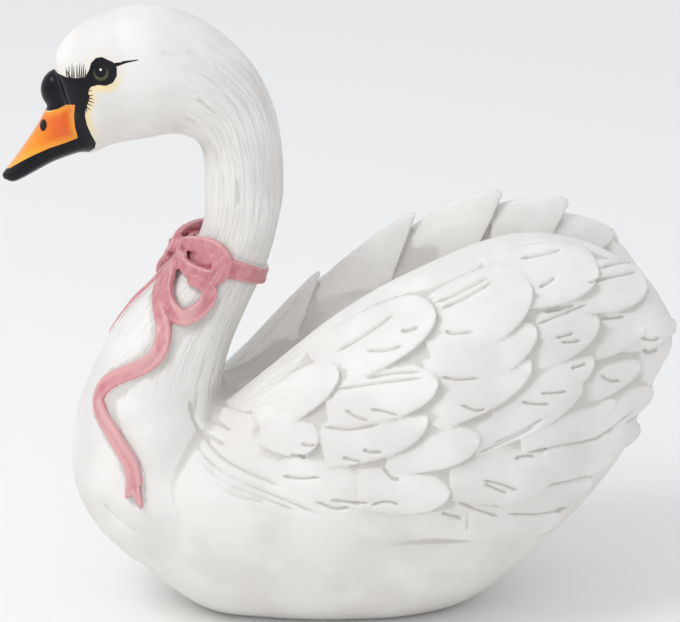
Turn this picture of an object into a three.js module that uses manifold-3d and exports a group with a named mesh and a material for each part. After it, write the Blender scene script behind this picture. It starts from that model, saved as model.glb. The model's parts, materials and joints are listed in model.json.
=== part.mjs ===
// A swan figurine with a ribbon bow round its neck, cast in one piece and painted.
// Frame: +Z up, the swan faces -X, origin in the middle of its bounding box at table level.
import * as THREE from "three";
import Module from "manifold-3d";
import { mergeVertices } from "three/addons/utils/BufferGeometryUtils.js";

// Driving sizes, in millimetres.
const FIGURE_LENGTH = 440; // bill tip to the longest wing feather
const RIBBON_THICKNESS = 3;
const RIBBON_ROOT = 1.5; // how deep a ribbon lying on the swan is sunk in it
const KNOB_RADIUS = 13.5;
const EYE_RADIUS = 7.5;
const FAR_WING_LENGTH = 0.975; // of the near wing's length

// The tables below are drawn at this length, and every number of theirs grows with the figure.
const DRAWN_LENGTH = 440;
const GROWTH = FIGURE_LENGTH / DRAWN_LENGTH;

// Feathers are laid out in a plane that looks down on the wing by this much.
const LAYOUT_TILT = THREE.MathUtils.degToRad(19);
const LOWER_ARC = THREE.MathUtils.degToRad(-25);
const FEATHER_ROOT = 4; // how deep a feather's underside is sunk in what carries it
const QUARTER_TURN = Math.PI / 2;
const NEAR = 1; // the side that faces -Y
const FAR = -1;

// Body seen from the side: x, underside z, back z, half width, z of the widest place.
const BODY = [
  [-170, 97, 97, 2, 97],
  [-166, 76, 118, 26, 98],
  [-157, 56, 130, 44, 100],
  [-143, 38, 138, 60, 102],
  [-122, 18, 146, 76, 103],
  [-95, -1, 151, 90, 103],
  [-50, -10, 156, 99, 102],
  [0, -13, 162, 102, 100],
  [50, -10, 165, 99, 100],
  [85, 0, 161, 90, 102],
  [112, 17, 154, 77, 106],
  [140, 42, 142, 61, 110],
  [165, 68, 130, 45, 112],
  [186, 96, 119, 30, 113],
  [197, 112, 116, 14, 114],
];

// Neck and head, from the face back over the crown and down into the breast:
// station, nape side x and z, throat side x and z, half width.
const NECK = [
  [0, -187, 385.5, -165.5, 317.5, 20],
  [1, -176, 400, -159.5, 319, 27],
  [2, -158, 410.8, -151.5, 324, 31],
  [3, -127, 418, -128, 328, 32],
  [4, -89.5, 407, -107.5, 331, 28],
  [5, -57, 377, -93, 324, 24],
  [6, -40.5, 339, -90, 309, 22],
  [7, -37, 295, -90, 293.5, 22],
  [8, -40.5, 270.5, -90.5, 271.5, 23],
  [9, -48, 242, -99, 252, 25],
  [10, -61.5, 212, -119, 230.5, 31],
  [11, -73, 185, -142.5, 206, 42],
  [12, -79, 160, -161.5, 176.5, 56],
  [13, -74, 140, -177, 138.5, 72],
  [14, -66, 118, -181.5, 97, 81],
  [15, -55, 95, -169, 64.5, 81],
  [16, -45, 75, -145, 36, 64],
];

// Bill, from inside the face to the tip: station, upper x and z, lower x and z, half width.
const BILL = [
  [0, -176, 368, -158, 322, 18],
  [1, -192, 349, -173, 319, 18.5],
  [2, -198, 338.5, -187.5, 314, 17.5],
  [3, -206, 326.5, -199, 308, 15.5],
  [4, -213.5, 316, -208, 303, 12.5],
  [5, -219.5, 308.5, -215, 300, 8.5],
  [6, -222.5, 304.5, -221.5, 301.5, 3],
];

// Wing: x, ridge y, widest y, ridge z, widest z, lower edge z.
const WING = [
  [-92, 26, 84, 141, 96, 88],
  [-50, 34, 97, 179, 100, 78],
  [-5, 35, 107, 216, 108, 78],
  [30, 35, 110, 238, 115, 80],
  [57, 35, 110, 251, 122, 80],
  [90, 32, 107, 264, 128, 76],
  [111, 25, 102, 267, 132, 75],
  [140, 23, 91, 266, 142, 80],
  [165, 24, 76, 259, 154, 108],
  [190, 30, 64, 246, 170, 136],
  [208, 37, 56, 229, 190, 174],
  [218, 43, 50, 208, 196, 190],
];

// The wing's inner wall: how far in from the ridge, as a share of the way to the middle of the
// swan, at a share of the way down to the lower edge.
const INNER_WALL = [
  [0.06, 0.015],
  [0.2, 0.13],
  [0.42, 0.24],
  [0.74, 0.38],
  [0.8, 0.95],
];

// Crest feathers that stand on the ridge of the far wing: x where the upper edge leaves the
// ridge and x of the tip, how high the tip is over the ridge, and how deep the face goes.
const FAR_CREST = [
  [-60, -9, 10, 20],
  [-14, 57, 13, 26],
  [52, 116, 14, 26],
  [108, 162, 14, 22],
  [150, 197, 6, 18],
];

// Wing feathers, laid out in the tilted plane: tip along and up, root along and up, width,
// then how far the lower edge and the upper edge stand over what lies behind. Those of the top
// row have a raised upper edge too.
const FEATHERS = [
  [-6, 157, -58, 122, 27, 5, 3],
  [-19, 110, -55, 120, 30, 4, 0],
  [57, 195, -18, 157, 38, 6, 3],
  [58, 148, -14, 135, 38, 6, 0],
  [51, 124, -17, 106, 36, 5, 0],
  [120, 210, 49, 176, 48, 6, 3],
  [123, 181, 53, 150, 37, 6, 0],
  [119, 159, 43, 126, 36, 6, 0],
  [85, 110, 24, 102, 34, 5, 0],
  [66, 75, 7, 77, 32, 4.5, 0],
  [167, 219, 92, 211, 42, 6, 3],
  [166, 186, 105, 164, 34, 5, 0],
  [162, 160, 92, 128, 31, 5, 0],
  [154, 143, 79, 109, 28, 4.5, 0],
  [132, 79, 66, 83, 32, 3.5, 0],
  [200, 208, 140, 207, 36, 5, 3],
  [197, 179, 136, 166, 26, 3.5, 0],
  [195, 155, 132, 134, 24, 3.5, 0],
  [178, 132, 112, 108, 23, 3, 0],
  [220, 183, 158, 184, 40, 3, 0],
  [205, 137, 139, 114, 26, 3, 0],
  [197, 112, 129, 98, 26, 3, 0],
  [177, 95, 109, 82, 23, 3, 0],
  [163, 79, 99, 65, 23, 3, 0],
  [142, 57, 79, 55, 22, 3, 0],
];

// Tail: a fan of feathers behind the body.
const TAIL = { count: 3, rootX: 120, tipX: 186, z: 116, width: 34, fan: 22, cant: 5, droop: 4 };

// Ribbon paths on the neck and breast: station of NECK, degrees round from the throat towards
// the near side, millimetres off the surface, and the width there.
const UPPER_LOOP = [
  [9.21, 30, 6, 9],
  [9.18, 12, 6.5, 9],
  [9.0, 3, 6.5, 9],
  [8.78, 17, 6, 10],
  [8.62, 41, 4, 11],
  [8.68, 62, 3, 13],
  [8.93, 77, 2, 14],
  [9.19, 81, 2, 13],
  [9.36, 76, 3, 12],
  [9.38, 61, 4, 11],
  [9.35, 42, 5, 10],
  [9.26, 28, 6, 9],
];
const LOWER_LOOP = [
  [9.4, 14, 5, 8],
  [9.68, 27, 5, 9],
  [10.0, 38, 4, 10.5],
  [10.29, 57, 3, 11.5],
  [10.36, 75, 3, 11.5],
  [10.18, 84, 3, 11],
  [9.88, 88, 3, 10.5],
  [9.64, 83, 3, 10],
  [9.57, 72, 3, 9],
  [9.54, 52, 4, 8],
];
const NEAR_TAIL = [
  [9.3, 4, 4, 8],
  [9.75, 8, 2.5, 9.5],
  [10.14, 20, 1, 10.5],
  [10.39, 42, 1, 11],
  [10.64, 61, 1, 11],
  [10.97, 71, 1, 11],
  [11.31, 72, 1, 11],
  [11.65, 62, 1, 11.5],
  [11.93, 48, 1, 12],
  [12.2, 38, 1, 13],
  [12.47, 36, 1, 13],
  [12.66, 46, 1, 12],
  [12.83, 58, 1, 11],
  [13.07, 68, 1, 11],
  [13.35, 75, 1, 11],
  [13.74, 77, 1, 10.5],
];
const FAR_TAIL = [
  [9.3, -4, 4, 8],
  [9.8, -10, 2.5, 9.5],
  [10.2, -14, 1, 10.5],
  [10.72, -16, 1, 10.5],
  [11.0, -18, 0.5, 9],
  [11.2, -19, 0, 8],
];
// Each tail ends in a fork, whose two points run on by this much: stations and degrees.
const FORK_POINTS = [
  [0.48, 1],
  [0.24, -7],
];
const BAND = { station: 9.05, droop: 0.25, width: 17, narrow: 10.5 };
const FAR_LOOP_LIFT = 1.8; // of the near loops' lift
const KNOT = { station: 9.12, lift: 3, radius: 8 };

const wasm = await Module();
wasm.setup();

// A smooth curve through the rows of a table: the first column is the key, and each of the
// others is a cubic whose slope at a row is the mean of the slopes on its two sides.
function profile(rows) {
  const keys = rows.map((row) => row[0]);
  const slope = (i, c) => (rows[i + 1][c] - rows[i][c]) / (keys[i + 1] - keys[i]);
  const tangent = (i, c) => {
    if (i === 0) return slope(0, c);
    if (i === rows.length - 1) return slope(i - 1, c);
    const before = keys[i] - keys[i - 1];
    const after = keys[i + 1] - keys[i];
    return (slope(i - 1, c) * after + slope(i, c) * before) / (before + after);
  };
  return (key) => {
    const at = THREE.MathUtils.clamp(key, keys[0], keys.at(-1));
    const i = Math.min(keys.filter((k) => k <= at).length - 1, rows.length - 2);
    const span = keys[i + 1] - keys[i];
    const p = (at - keys[i]) / span;
    const q = 1 - p;
    return rows[i].slice(1).map((value, n) => {
      const c = n + 1;
      return (
        (1 + 2 * p) * q * q * value +
        p * q * q * span * tangent(i, c) +
        p * p * (3 - 2 * p) * rows[i + 1][c] -
        p * p * q * span * tangent(i + 1, c)
      );
    });
  };
}

const bodyAt = profile(BODY);
const neckAt = profile(NECK);
const billAt = profile(BILL);
const wingAt = profile(WING);

// Turns triangles (corner positions, then index triples) into a solid that faces outwards.
function solidOf(points, triangles) {
  const geometry = new THREE.BufferGeometry().setFromPoints(points);
  geometry.setIndex(triangles);
  return solidFromGeometry(geometry);
}

function solidFromGeometry(source) {
  const geometry = source.clone();
  geometry.deleteAttribute("normal");
  geometry.deleteAttribute("uv");
  const merged = mergeVertices(geometry, 1e-4);
  const corner = (n) => new THREE.Vector3().fromBufferAttribute(merged.attributes.position, n);
  const triVerts = [];
  let volume = 0;
  for (let i = 0; i < merged.index.count; i += 3) {
    const [a, b, c] = [0, 1, 2].map((n) => merged.index.getX(i + n));
    if (a === b || b === c || c === a) continue;
    volume += corner(a).dot(corner(b).cross(corner(c)));
    triVerts.push(a, b, c);
  }
  if (volume < 0) triVerts.reverse();
  return new wasm.Manifold(
    new wasm.Mesh({
      numProp: 3,
      vertProperties: new Float32Array(merged.attributes.position.array),
      triVerts: new Uint32Array(triVerts),
    }),
  );
}

// A skin over rings of equally many points, closed at both ends by a fan.
function loft(rings) {
  const around = rings[0].length;
  const points = rings.flat();
  const triangles = [];
  for (let r = 0; r + 1 < rings.length; r++) {
    for (let n = 0; n < around; n++) {
      const a = r * around + n;
      const b = r * around + ((n + 1) % around);
      triangles.push(a, b, a + around, b, b + around, a + around);
    }
  }
  [0, rings.length - 1].forEach((r) => {
    const middle = new THREE.Vector3();
    rings[r].forEach((point) => middle.addScaledVector(point, 1 / around));
    points.push(middle);
    const hub = points.length - 1;
    for (let n = 0; n < around; n++) {
      const a = r * around + n;
      const b = r * around + ((n + 1) % around);
      if (r === 0) triangles.push(b, a, hub);
      else triangles.push(a, b, hub);
    }
  });
  return solidOf(points, triangles);
}

// A skin over a grid of points, with an underside below it and walls round its rim.
function slab(upper, under) {
  const rows = upper.length;
  const columns = upper[0].length;
  const points = [...upper.flat(), ...under.flat()];
  const below = rows * columns;
  const triangles = [];
  const quad = (a, b, c, d) => triangles.push(a, b, c, a, c, d);
  for (let r = 0; r + 1 < rows; r++) {
    for (let c = 0; c + 1 < columns; c++) {
      const a = r * columns + c;
      quad(a, a + 1, a + 1 + columns, a + columns);
      quad(below + a + columns, below + a + 1 + columns, below + a + 1, below + a);
    }
  }
  const rim = [];
  for (let c = 0; c < columns - 1; c++) rim.push(c);
  for (let r = 0; r < rows - 1; r++) rim.push(r * columns + columns - 1);
  for (let c = columns - 1; c > 0; c--) rim.push((rows - 1) * columns + c);
  for (let r = rows - 1; r > 0; r--) rim.push(r * columns);
  rim.forEach((a, n) => {
    const b = rim[(n + 1) % rim.length];
    quad(b, a, below + a, below + b);
  });
  return solidOf(points, triangles);
}

const steps = (count, from = 0, to = 1) =>
  Array.from({ length: count + 1 }, (_, n) => from + ((to - from) * n) / count);

// Even turns of a ring, in radians.
const turns = (count) => steps(count - 1, 0, 2 * Math.PI * (1 - 1 / count));

// A point of the body at x, at an angle up from its widest place; the foot is cut flat.
function bodyPoint(x, angle) {
  const [under, back, half, widest] = bodyAt(x);
  const height = Math.sin(angle) > 0 ? back - widest : widest - under;
  const z = Math.max(0, widest + height * Math.sin(angle));
  return new THREE.Vector3(x, -half * Math.cos(angle), z);
}

function body() {
  const first = BODY[0][0];
  const last = BODY.at(-1)[0];
  const middle = (first + last) / 2;
  const reach = (last - first) / 2;
  const rings = steps(14).map((share) => {
    const x = middle - reach * Math.cos(Math.PI * share);
    return turns(20).map((angle) => bodyPoint(x, angle));
  });
  return loft(rings);
}

// A point of the neck's skin at a station, at an angle round from the throat towards the
// near side, lifted off the skin.
function neckPoint(station, angle, lift = 0) {
  const [napeX, napeZ, throatX, throatZ, half] = neckAt(station);
  const acrossX = (napeX - throatX) / 2;
  const acrossZ = (napeZ - throatZ) / 2;
  const depth = Math.hypot(acrossX, acrossZ);
  const out = new THREE.Vector3(
    (-acrossX / depth) * (Math.cos(angle) / depth),
    -Math.sin(angle) / half,
    (-acrossZ / depth) * (Math.cos(angle) / depth),
  ).normalize();
  return new THREE.Vector3(
    (napeX + throatX) / 2 - acrossX * Math.cos(angle),
    -half * Math.sin(angle),
    (napeZ + throatZ) / 2 - acrossZ * Math.cos(angle),
  ).addScaledVector(out, lift);
}

function neckAndHead() {
  const last = NECK.at(-1)[0];
  const rings = steps(26, 0, last).map((station) =>
    turns(16).map((angle) => neckPoint(station, angle)),
  );
  return loft(rings);
}

// The bill is widest low down, so its upper side falls away from a narrow ridge.
function bill() {
  const last = BILL.at(-1)[0];
  const rings = steps(8, 0, last).map((station) => {
    const [upperX, upperZ, lowerX, lowerZ, half] = billAt(station);
    return turns(12).map((angle) => {
      const up = Math.cos(angle);
      const spread = Math.sin(angle) * (1 - 0.22 * up);
      return new THREE.Vector3(
        (upperX + lowerX) / 2 + ((upperX - lowerX) / 2) * up,
        -half * spread,
        (upperZ + lowerZ) / 2 + ((upperZ - lowerZ) / 2) * up,
      );
    });
  });
  return loft(rings);
}

function ball(radius, centre, stretch = [1, 1, 1]) {
  const geometry = new THREE.SphereGeometry(radius, 9, 6);
  geometry.scale(...stretch).translate(...centre);
  return solidFromGeometry(geometry);
}

const KNOB_CENTRE = [-183, 0, 361.5];
const EYE_CENTRE = [-156, 23, 377];

// A point of the wing at x, at an angle up from its widest place; 90 degrees is the ridge.
function wingPoint(x, angle) {
  const [ridgeY, widestY, ridgeZ, widestZ, lowZ] = wingAt(x);
  const rise = angle > 0 ? ridgeZ - widestZ : (widestZ - lowZ) / Math.sin(-LOWER_ARC);
  const y = ridgeY + (widestY - ridgeY) * Math.cos(angle);
  return new THREE.Vector3(x, -y, widestZ + rise * Math.sin(angle));
}

// One ring of the wing: its outer side from the lower edge up to the ridge, and then the
// inner side down to inside the body.
function wingRing(x) {
  const [ridgeY, , ridgeZ, , lowZ] = wingAt(x);
  const outer = steps(8, LOWER_ARC, QUARTER_TURN).map((angle) => wingPoint(x, angle));
  const inner = INNER_WALL.map(([inset, share]) => {
    const z = THREE.MathUtils.lerp(ridgeZ, lowZ, share);
    return new THREE.Vector3(x, -ridgeY * (1 - inset), z);
  });
  return [...outer, ...inner];
}

function wing(placed) {
  const first = WING[0][0];
  const last = WING.at(-1)[0];
  return loft(steps(12, first, last).map((x) => wingRing(x).map(placed)));
}

// The angle of the wing's skin at x that is seen at a height of the tilted layout plane.
function seenAngle(x, up) {
  const [ridgeY, widestY, ridgeZ, widestZ, lowZ] = wingAt(x);
  const middle = widestZ * Math.cos(LAYOUT_TILT) - ridgeY * Math.sin(LAYOUT_TILT);
  const outward = (widestY - ridgeY) * Math.sin(LAYOUT_TILT);
  const rise = up > middle - outward ? ridgeZ - widestZ : (widestZ - lowZ) / Math.sin(-LOWER_ARC);
  const upward = rise * Math.cos(LAYOUT_TILT);
  const share = THREE.MathUtils.clamp((up - middle) / Math.hypot(upward, outward), -1, 1);
  return Math.asin(share) + Math.atan2(outward, upward);
}

// Which way the wing's skin faces at an angle of its section.
function wingNormal(x, angle) {
  const [ridgeY, widestY, ridgeZ, widestZ, lowZ] = wingAt(x);
  const rise = angle > 0 ? ridgeZ - widestZ : (widestZ - lowZ) / Math.sin(-LOWER_ARC);
  return new THREE.Vector3(
    0,
    -Math.cos(angle) / Math.max(widestY - ridgeY, 1),
    Math.sin(angle) / Math.max(rise, 1),
  ).normalize();
}

// A point that stands off the wing by lift and is seen at (x, up) of the layout plane.
function feltOnWing(x, up, lift) {
  let angle = seenAngle(x, up);
  for (let n = 0; n < 3; n++) {
    const { y, z } = wingNormal(x, angle).multiplyScalar(Math.max(lift, 0));
    angle = seenAngle(x, up - z * Math.cos(LAYOUT_TILT) - y * Math.sin(LAYOUT_TILT));
  }
  return wingPoint(x, angle).addScaledVector(wingNormal(x, angle), lift);
}

// Outline of a feather: half its width at a share of its length from root to tip.
// The more square it is, the longer it stays wide.
const featherHalf = (share, square = 6) =>
  (0.8 + 0.2 * Math.sin(Math.PI * share)) * Math.sqrt(1 - share ** square);

// One wing feather, as a slab whose lower edge and tip stand over what is behind.
function wingFeather([tipX, tipUp, rootX, rootUp, width, lift, upper], placed) {
  const tip = new THREE.Vector2(tipX, tipUp);
  const root = new THREE.Vector2(rootX, rootUp);
  const along = tip.clone().sub(root);
  const across = new THREE.Vector2(-along.y, along.x).normalize();
  const shares = [0, 0.55, 0.84, 0.965];
  const sides = [-1, 0.15, 1];
  const place = (share, side) =>
    root
      .clone()
      .addScaledVector(along, share)
      .addScaledVector(across, (width / 2) * featherHalf(share, side > 0 && upper ? 14 : 6) * side);
  const height = (share, side) => {
    const raised = side < 0 ? 0.5 - 0.5 * side : 0.5;
    const top = side < 0 ? lift * raised : THREE.MathUtils.lerp(lift * raised, upper, side);
    return (0.15 + 0.85 * share) * top;
  };
  const layer = (depth) =>
    shares.map((share) =>
      sides.map((side) => {
        const { x, y: up } = place(share, side);
        const sunk = -depth * (height(share, side) + FEATHER_ROOT);
        const point = feltOnWing(x, up, height(share, side));
        return placed(point.addScaledVector(wingNormal(x, seenAngle(x, up)), sunk));
      }),
    );
  return slab(layer(0), layer(1));
}

// One crest feather, as a blade whose inner face lies a little proud of the wing's inner wall.
function crestFeather([rootX, tipX, rise, deep], placed) {
  const faces = { proud: 3.5, thick: 7 };
  const layer = (back) =>
    [0, 0.55, 1].map((share) => {
      const rows = [
        [-rise * share, 2.5],
        [8, -3.5],
        [deep, -7],
      ];
      return rows.map(([down, inset], n) => {
        const x = THREE.MathUtils.lerp(rootX, tipX - 5 * n * share, share);
        const ridge = wingPoint(x, QUARTER_TURN);
        const y = ridge.y - inset + faces.proud * share - back * faces.thick;
        return placed(new THREE.Vector3(x, y, ridge.z - down));
      });
    });
  return slab(layer(0), layer(1));
}

// One tail feather of the fan behind the body.
function tailFeather(place) {
  const { rootX, tipX, z, width, fan, cant, droop } = TAIL;
  const length = tipX - rootX - 10 * place * place;
  const shares = [0, 0.6, 0.95];
  const sides = [-1, 0, 1];
  const thick = 6;
  const layer = (lift) =>
    shares.map((share) =>
      sides.map((side) => {
        const out = (width / 2) * featherHalf(share) * side + place * fan * (0.45 + 0.55 * share);
        const crown = 3 * (1 - side * side) + cant * (1 - Math.abs(place));
        return new THREE.Vector3(rootX + length * share, out, z + crown - droop * share + lift);
      }),
    );
  return slab(layer(0), layer(-thick));
}

// A ribbon of flat section swept along places, each with its point, the way its face looks,
// its width and its thickness.
function strap(places) {
  const rings = places.map(({ point, out, width, thickness }, n) => {
    const ahead = places[Math.min(n + 1, places.length - 1)].point;
    const behind = places[Math.max(n - 1, 0)].point;
    const along = ahead.clone().sub(behind).normalize();
    const across = new THREE.Vector3().crossVectors(along, out).normalize();
    const face = new THREE.Vector3().crossVectors(across, along).normalize();
    return [
      [-0.5, -0.5],
      [0.5, -0.5],
      [0.4, 0.5],
      [-0.4, 0.5],
    ].map(([w, t]) =>
      point.clone().addScaledVector(across, w * width).addScaledVector(face, t * thickness),
    );
  });
  return loft(rings);
}

// The places of a ribbon on the neck, at even steps along a curve through the rows. Its outer
// face stands off the neck by the lift and the ribbon's thickness.
function ribbonPlaces(rows, count) {
  const at = profile(rows.map((row, n) => [n, ...row]));
  return steps(count, 0, rows.length - 1).map((key) => {
    const [station, degrees, lift, width] = at(key);
    const angle = THREE.MathUtils.degToRad(degrees);
    const thickness = RIBBON_THICKNESS + Math.min(lift, RIBBON_ROOT);
    const point = neckPoint(station, angle, lift + RIBBON_THICKNESS - thickness / 2 - 0.5);
    const out = neckPoint(station, angle, 1).sub(neckPoint(station, angle));
    return { point, out, width, thickness };
  });
}

// The two points of a tail's forked end.
function fork(rows) {
  const [station, degrees, lift, width] = rows.at(-1);
  const turned = Math.sign(degrees);
  return FORK_POINTS.map(([ahead, round]) =>
    strap(
      ribbonPlaces(
        [
          [station - 0.12, degrees + (turned * round) / 4, lift, width * 0.6],
          [station + ahead / 2, degrees + (turned * round) / 1.5, lift, width * 0.5],
          [station + ahead, degrees + turned * round, lift, width * 0.25],
        ],
        3,
      ),
    ),
  );
}

function ribbon() {
  const band = steps(20).map((share) => {
    const degrees = 368 * share;
    const nape = Math.sin(Math.PI * share) ** 2;
    return [
      BAND.station + BAND.droop * nape ** 3,
      degrees,
      1,
      THREE.MathUtils.lerp(BAND.width, BAND.narrow, nape),
    ];
  });
  const mirrored = (rows) =>
    rows.map(([station, degrees, lift, width]) => [station, -degrees, lift * FAR_LOOP_LIFT, width]);
  const loops = [UPPER_LOOP, LOWER_LOOP, mirrored(UPPER_LOOP), mirrored(LOWER_LOOP)];
  return [
    strap(ribbonPlaces(band, 17)),
    ...loops.map((rows) => strap(ribbonPlaces(rows, 10))),
    strap(ribbonPlaces(NEAR_TAIL, 16)),
    strap(ribbonPlaces(FAR_TAIL, 6)),
    ...fork(NEAR_TAIL),
    ...fork(FAR_TAIL),
    ball(KNOT.radius, neckPoint(KNOT.station, 0, KNOT.lift).toArray(), [0.8, 0.9, 1.1]),
  ];
}

// Where a point of the near wing lies on the far one, which mirrors it and is a little shorter.
function onFarSide({ x, y, z }) {
  const front = WING[0][0];
  return new THREE.Vector3(front + (x - front) * FAR_WING_LENGTH, -y, z);
}

const onNearSide = (point) => point;

const featheredWing = (placed) => [wing(placed), ...FEATHERS.map((row) => wingFeather(row, placed))];

// The outer skin alone, so that no gap stays sealed in where feathers overlap.
const outerSkin = (solid) =>
  solid.decompose().reduce((kept, shell) => (shell.volume() > kept.volume() ? shell : kept));

function swan() {
  const pieces = [
    body(),
    neckAndHead(),
    bill(),
    ball(KNOB_RADIUS, KNOB_CENTRE, [0.95, 0.8, 1.05]),
    ...[NEAR, FAR].map((side) =>
      ball(EYE_RADIUS, [EYE_CENTRE[0], -side * EYE_CENTRE[1], EYE_CENTRE[2]]),
    ),
    ...featheredWing(onNearSide),
    ...featheredWing(onFarSide),
    ...FAR_CREST.map((row) => crestFeather(row, onFarSide)),
    ...steps(TAIL.count - 1, -1, 1).map(tailFeather),
    ...ribbon(),
  ];
  return outerSkin(pieces.reduce((whole, piece) => whole.add(piece)));
}

function meshOf(name, solid, material) {
  const { vertProperties, triVerts, numProp } = solid.getMesh();
  const positions = new Float32Array((vertProperties.length / numProp) * 3);
  for (let n = 0; n * numProp < vertProperties.length; n++)
    positions.set(vertProperties.subarray(n * numProp, n * numProp + 3), n * 3);
  const geometry = new THREE.BufferGeometry();
  geometry.setAttribute("position", new THREE.BufferAttribute(positions, 3));
  geometry.setIndex(new THREE.BufferAttribute(new Uint32Array(triVerts), 1));
  geometry.computeVertexNormals();
  const mesh = new THREE.Mesh(geometry, material);
  mesh.name = name;
  return mesh;
}

const mattWhite = new THREE.MeshStandardMaterial({ color: 0xe9e7e3, roughness: 0.62, metalness: 0 });
const whole = meshOf("swan", swan(), mattWhite);

// Puts the origin in the middle of the bounding box, at table level.
whole.geometry.scale(GROWTH, GROWTH, GROWTH).computeBoundingBox();
const box = whole.geometry.boundingBox;
whole.geometry.translate(-(box.min.x + box.max.x) / 2, -(box.min.y + box.max.y) / 2, -box.min.z);

const group = new THREE.Group();
group.add(whole);

export default group;
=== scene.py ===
# %% [markdown]
# # A cast and painted swan figurine
# The real object is one casting of ceramic or filled resin: a sculptor models the swan, its
# feathers and its ribbon in clay, a mould is taken, and the hollow cast is painted by hand.
# This lesson follows the same order. Smooth forms first, then feathers and ribbon laid on
# them, all fused into one skin, then the tool marks, and the paint last.

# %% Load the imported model
import json
import math

import bpy
import numpy as np
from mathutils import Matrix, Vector
from mathutils.bvhtree import BVHTree
from mathutils.kdtree import KDTree

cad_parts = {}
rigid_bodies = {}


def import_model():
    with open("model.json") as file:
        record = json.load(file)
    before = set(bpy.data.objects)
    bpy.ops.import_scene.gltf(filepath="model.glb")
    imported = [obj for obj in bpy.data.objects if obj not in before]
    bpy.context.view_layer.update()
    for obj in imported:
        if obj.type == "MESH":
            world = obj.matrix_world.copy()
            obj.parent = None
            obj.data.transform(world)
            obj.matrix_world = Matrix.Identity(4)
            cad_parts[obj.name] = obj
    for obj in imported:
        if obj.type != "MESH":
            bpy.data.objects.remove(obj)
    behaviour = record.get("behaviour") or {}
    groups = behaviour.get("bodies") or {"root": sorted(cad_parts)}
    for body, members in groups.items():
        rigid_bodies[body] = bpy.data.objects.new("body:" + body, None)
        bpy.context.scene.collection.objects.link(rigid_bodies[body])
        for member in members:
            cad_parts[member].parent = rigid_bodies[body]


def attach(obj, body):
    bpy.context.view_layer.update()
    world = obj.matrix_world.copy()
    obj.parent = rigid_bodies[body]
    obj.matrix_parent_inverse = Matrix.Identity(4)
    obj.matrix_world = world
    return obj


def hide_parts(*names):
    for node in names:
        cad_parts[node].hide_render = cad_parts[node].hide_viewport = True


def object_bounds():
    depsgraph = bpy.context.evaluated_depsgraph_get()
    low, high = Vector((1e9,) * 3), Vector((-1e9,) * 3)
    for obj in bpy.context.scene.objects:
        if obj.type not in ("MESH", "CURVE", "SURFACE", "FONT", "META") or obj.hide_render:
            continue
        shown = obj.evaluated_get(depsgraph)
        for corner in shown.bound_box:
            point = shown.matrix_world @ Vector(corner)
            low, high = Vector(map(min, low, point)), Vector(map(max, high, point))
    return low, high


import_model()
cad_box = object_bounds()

MM = 0.001
print("CAD box, metres:", cad_box)

# %% [markdown]
# ## The camera
# The picture was taken with a long lens from a little above the figure's left side. The
# camera comes first.

# %% Place the camera
AZIMUTH = math.radians(-3)
ELEVATION = math.radians(19)
DISTANCE = 2.4
PICTURE_WIDTH = 680
METRES_PER_PIXEL = 0.00067
SENSOR_MM = 36
AIM_DRAWN = (0, 0, 205)


def add_camera(aim):
    """A long lens at DISTANCE from the aim, so the picture's scale is METRES_PER_PIXEL."""
    bpy.ops.object.camera_add()
    camera = bpy.context.object
    camera.name = "camera"
    back = Vector(
        (
            math.sin(AZIMUTH) * math.cos(ELEVATION),
            -math.cos(AZIMUTH) * math.cos(ELEVATION),
            math.sin(ELEVATION),
        )
    )
    camera.location = aim + back * DISTANCE
    camera.rotation_euler = back.to_track_quat("Z", "Y").to_euler()
    camera.data.sensor_width = SENSOR_MM
    camera.data.lens = SENSOR_MM * (DISTANCE / METRES_PER_PIXEL) / PICTURE_WIDTH
    bpy.context.scene.camera = camera


# %% [markdown]
# ## Sections of the figure
# A sculptor keeps a fair curve through a few checked sections. The tables hold those
# sections, in millimetres, and a smooth curve runs through the rows of each.

# %% Tables of sections
# Body: x, underside z, back z, half width, z of the widest place.
BODY = [
    (-170, 97, 97, 2, 97),
    (-166, 76, 118, 26, 98),
    (-157, 56, 130, 44, 100),
    (-143, 38, 138, 60, 102),
    (-122, 18, 146, 76, 103),
    (-95, -1, 151, 90, 103),
    (-50, -10, 156, 99, 102),
    (0, -13, 162, 102, 100),
    (50, -10, 165, 99, 100),
    (85, 0, 161, 90, 102),
    (112, 17, 154, 77, 106),
    (140, 42, 142, 61, 110),
    (165, 68, 130, 45, 112),
    (186, 96, 119, 30, 113),
    (197, 112, 116, 14, 114),
]
# Neck and head: station, nape side x and z, throat side x and z, half width.
NECK = [
    (0, -187, 385.5, -165.5, 317.5, 20),
    (1, -176, 400, -159.5, 319, 27),
    (2, -158, 410.8, -151.5, 324, 31),
    (3, -127, 418, -128, 328, 32),
    (4, -89.5, 407, -107.5, 331, 28),
    (5, -57, 377, -93, 324, 24),
    (6, -40.5, 339, -90, 309, 22),
    (7, -37, 295, -90, 293.5, 22),
    (8, -40.5, 270.5, -90.5, 271.5, 23),
    (9, -48, 242, -99, 252, 25),
    (10, -61.5, 212, -119, 230.5, 31),
    (11, -73, 185, -142.5, 206, 42),
    (12, -79, 160, -161.5, 176.5, 56),
    (13, -74, 140, -177, 138.5, 72),
    (14, -66, 118, -181.5, 97, 81),
    (15, -55, 95, -169, 64.5, 81),
    (16, -45, 75, -145, 36, 64),
]
# Bill: station, upper x and z, lower x and z, half width.
BILL = [
    (0, -176, 368, -158, 322, 18),
    (1, -192, 349, -173, 319, 18.5),
    (2, -198, 338.5, -187.5, 314, 17.5),
    (3, -206, 326.5, -199, 308, 15.5),
    (4, -213.5, 316, -208, 303, 12.5),
    (5, -219.5, 308.5, -215, 300, 8.5),
    (6, -222.5, 304.5, -221.5, 301.5, 3),
]
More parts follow.
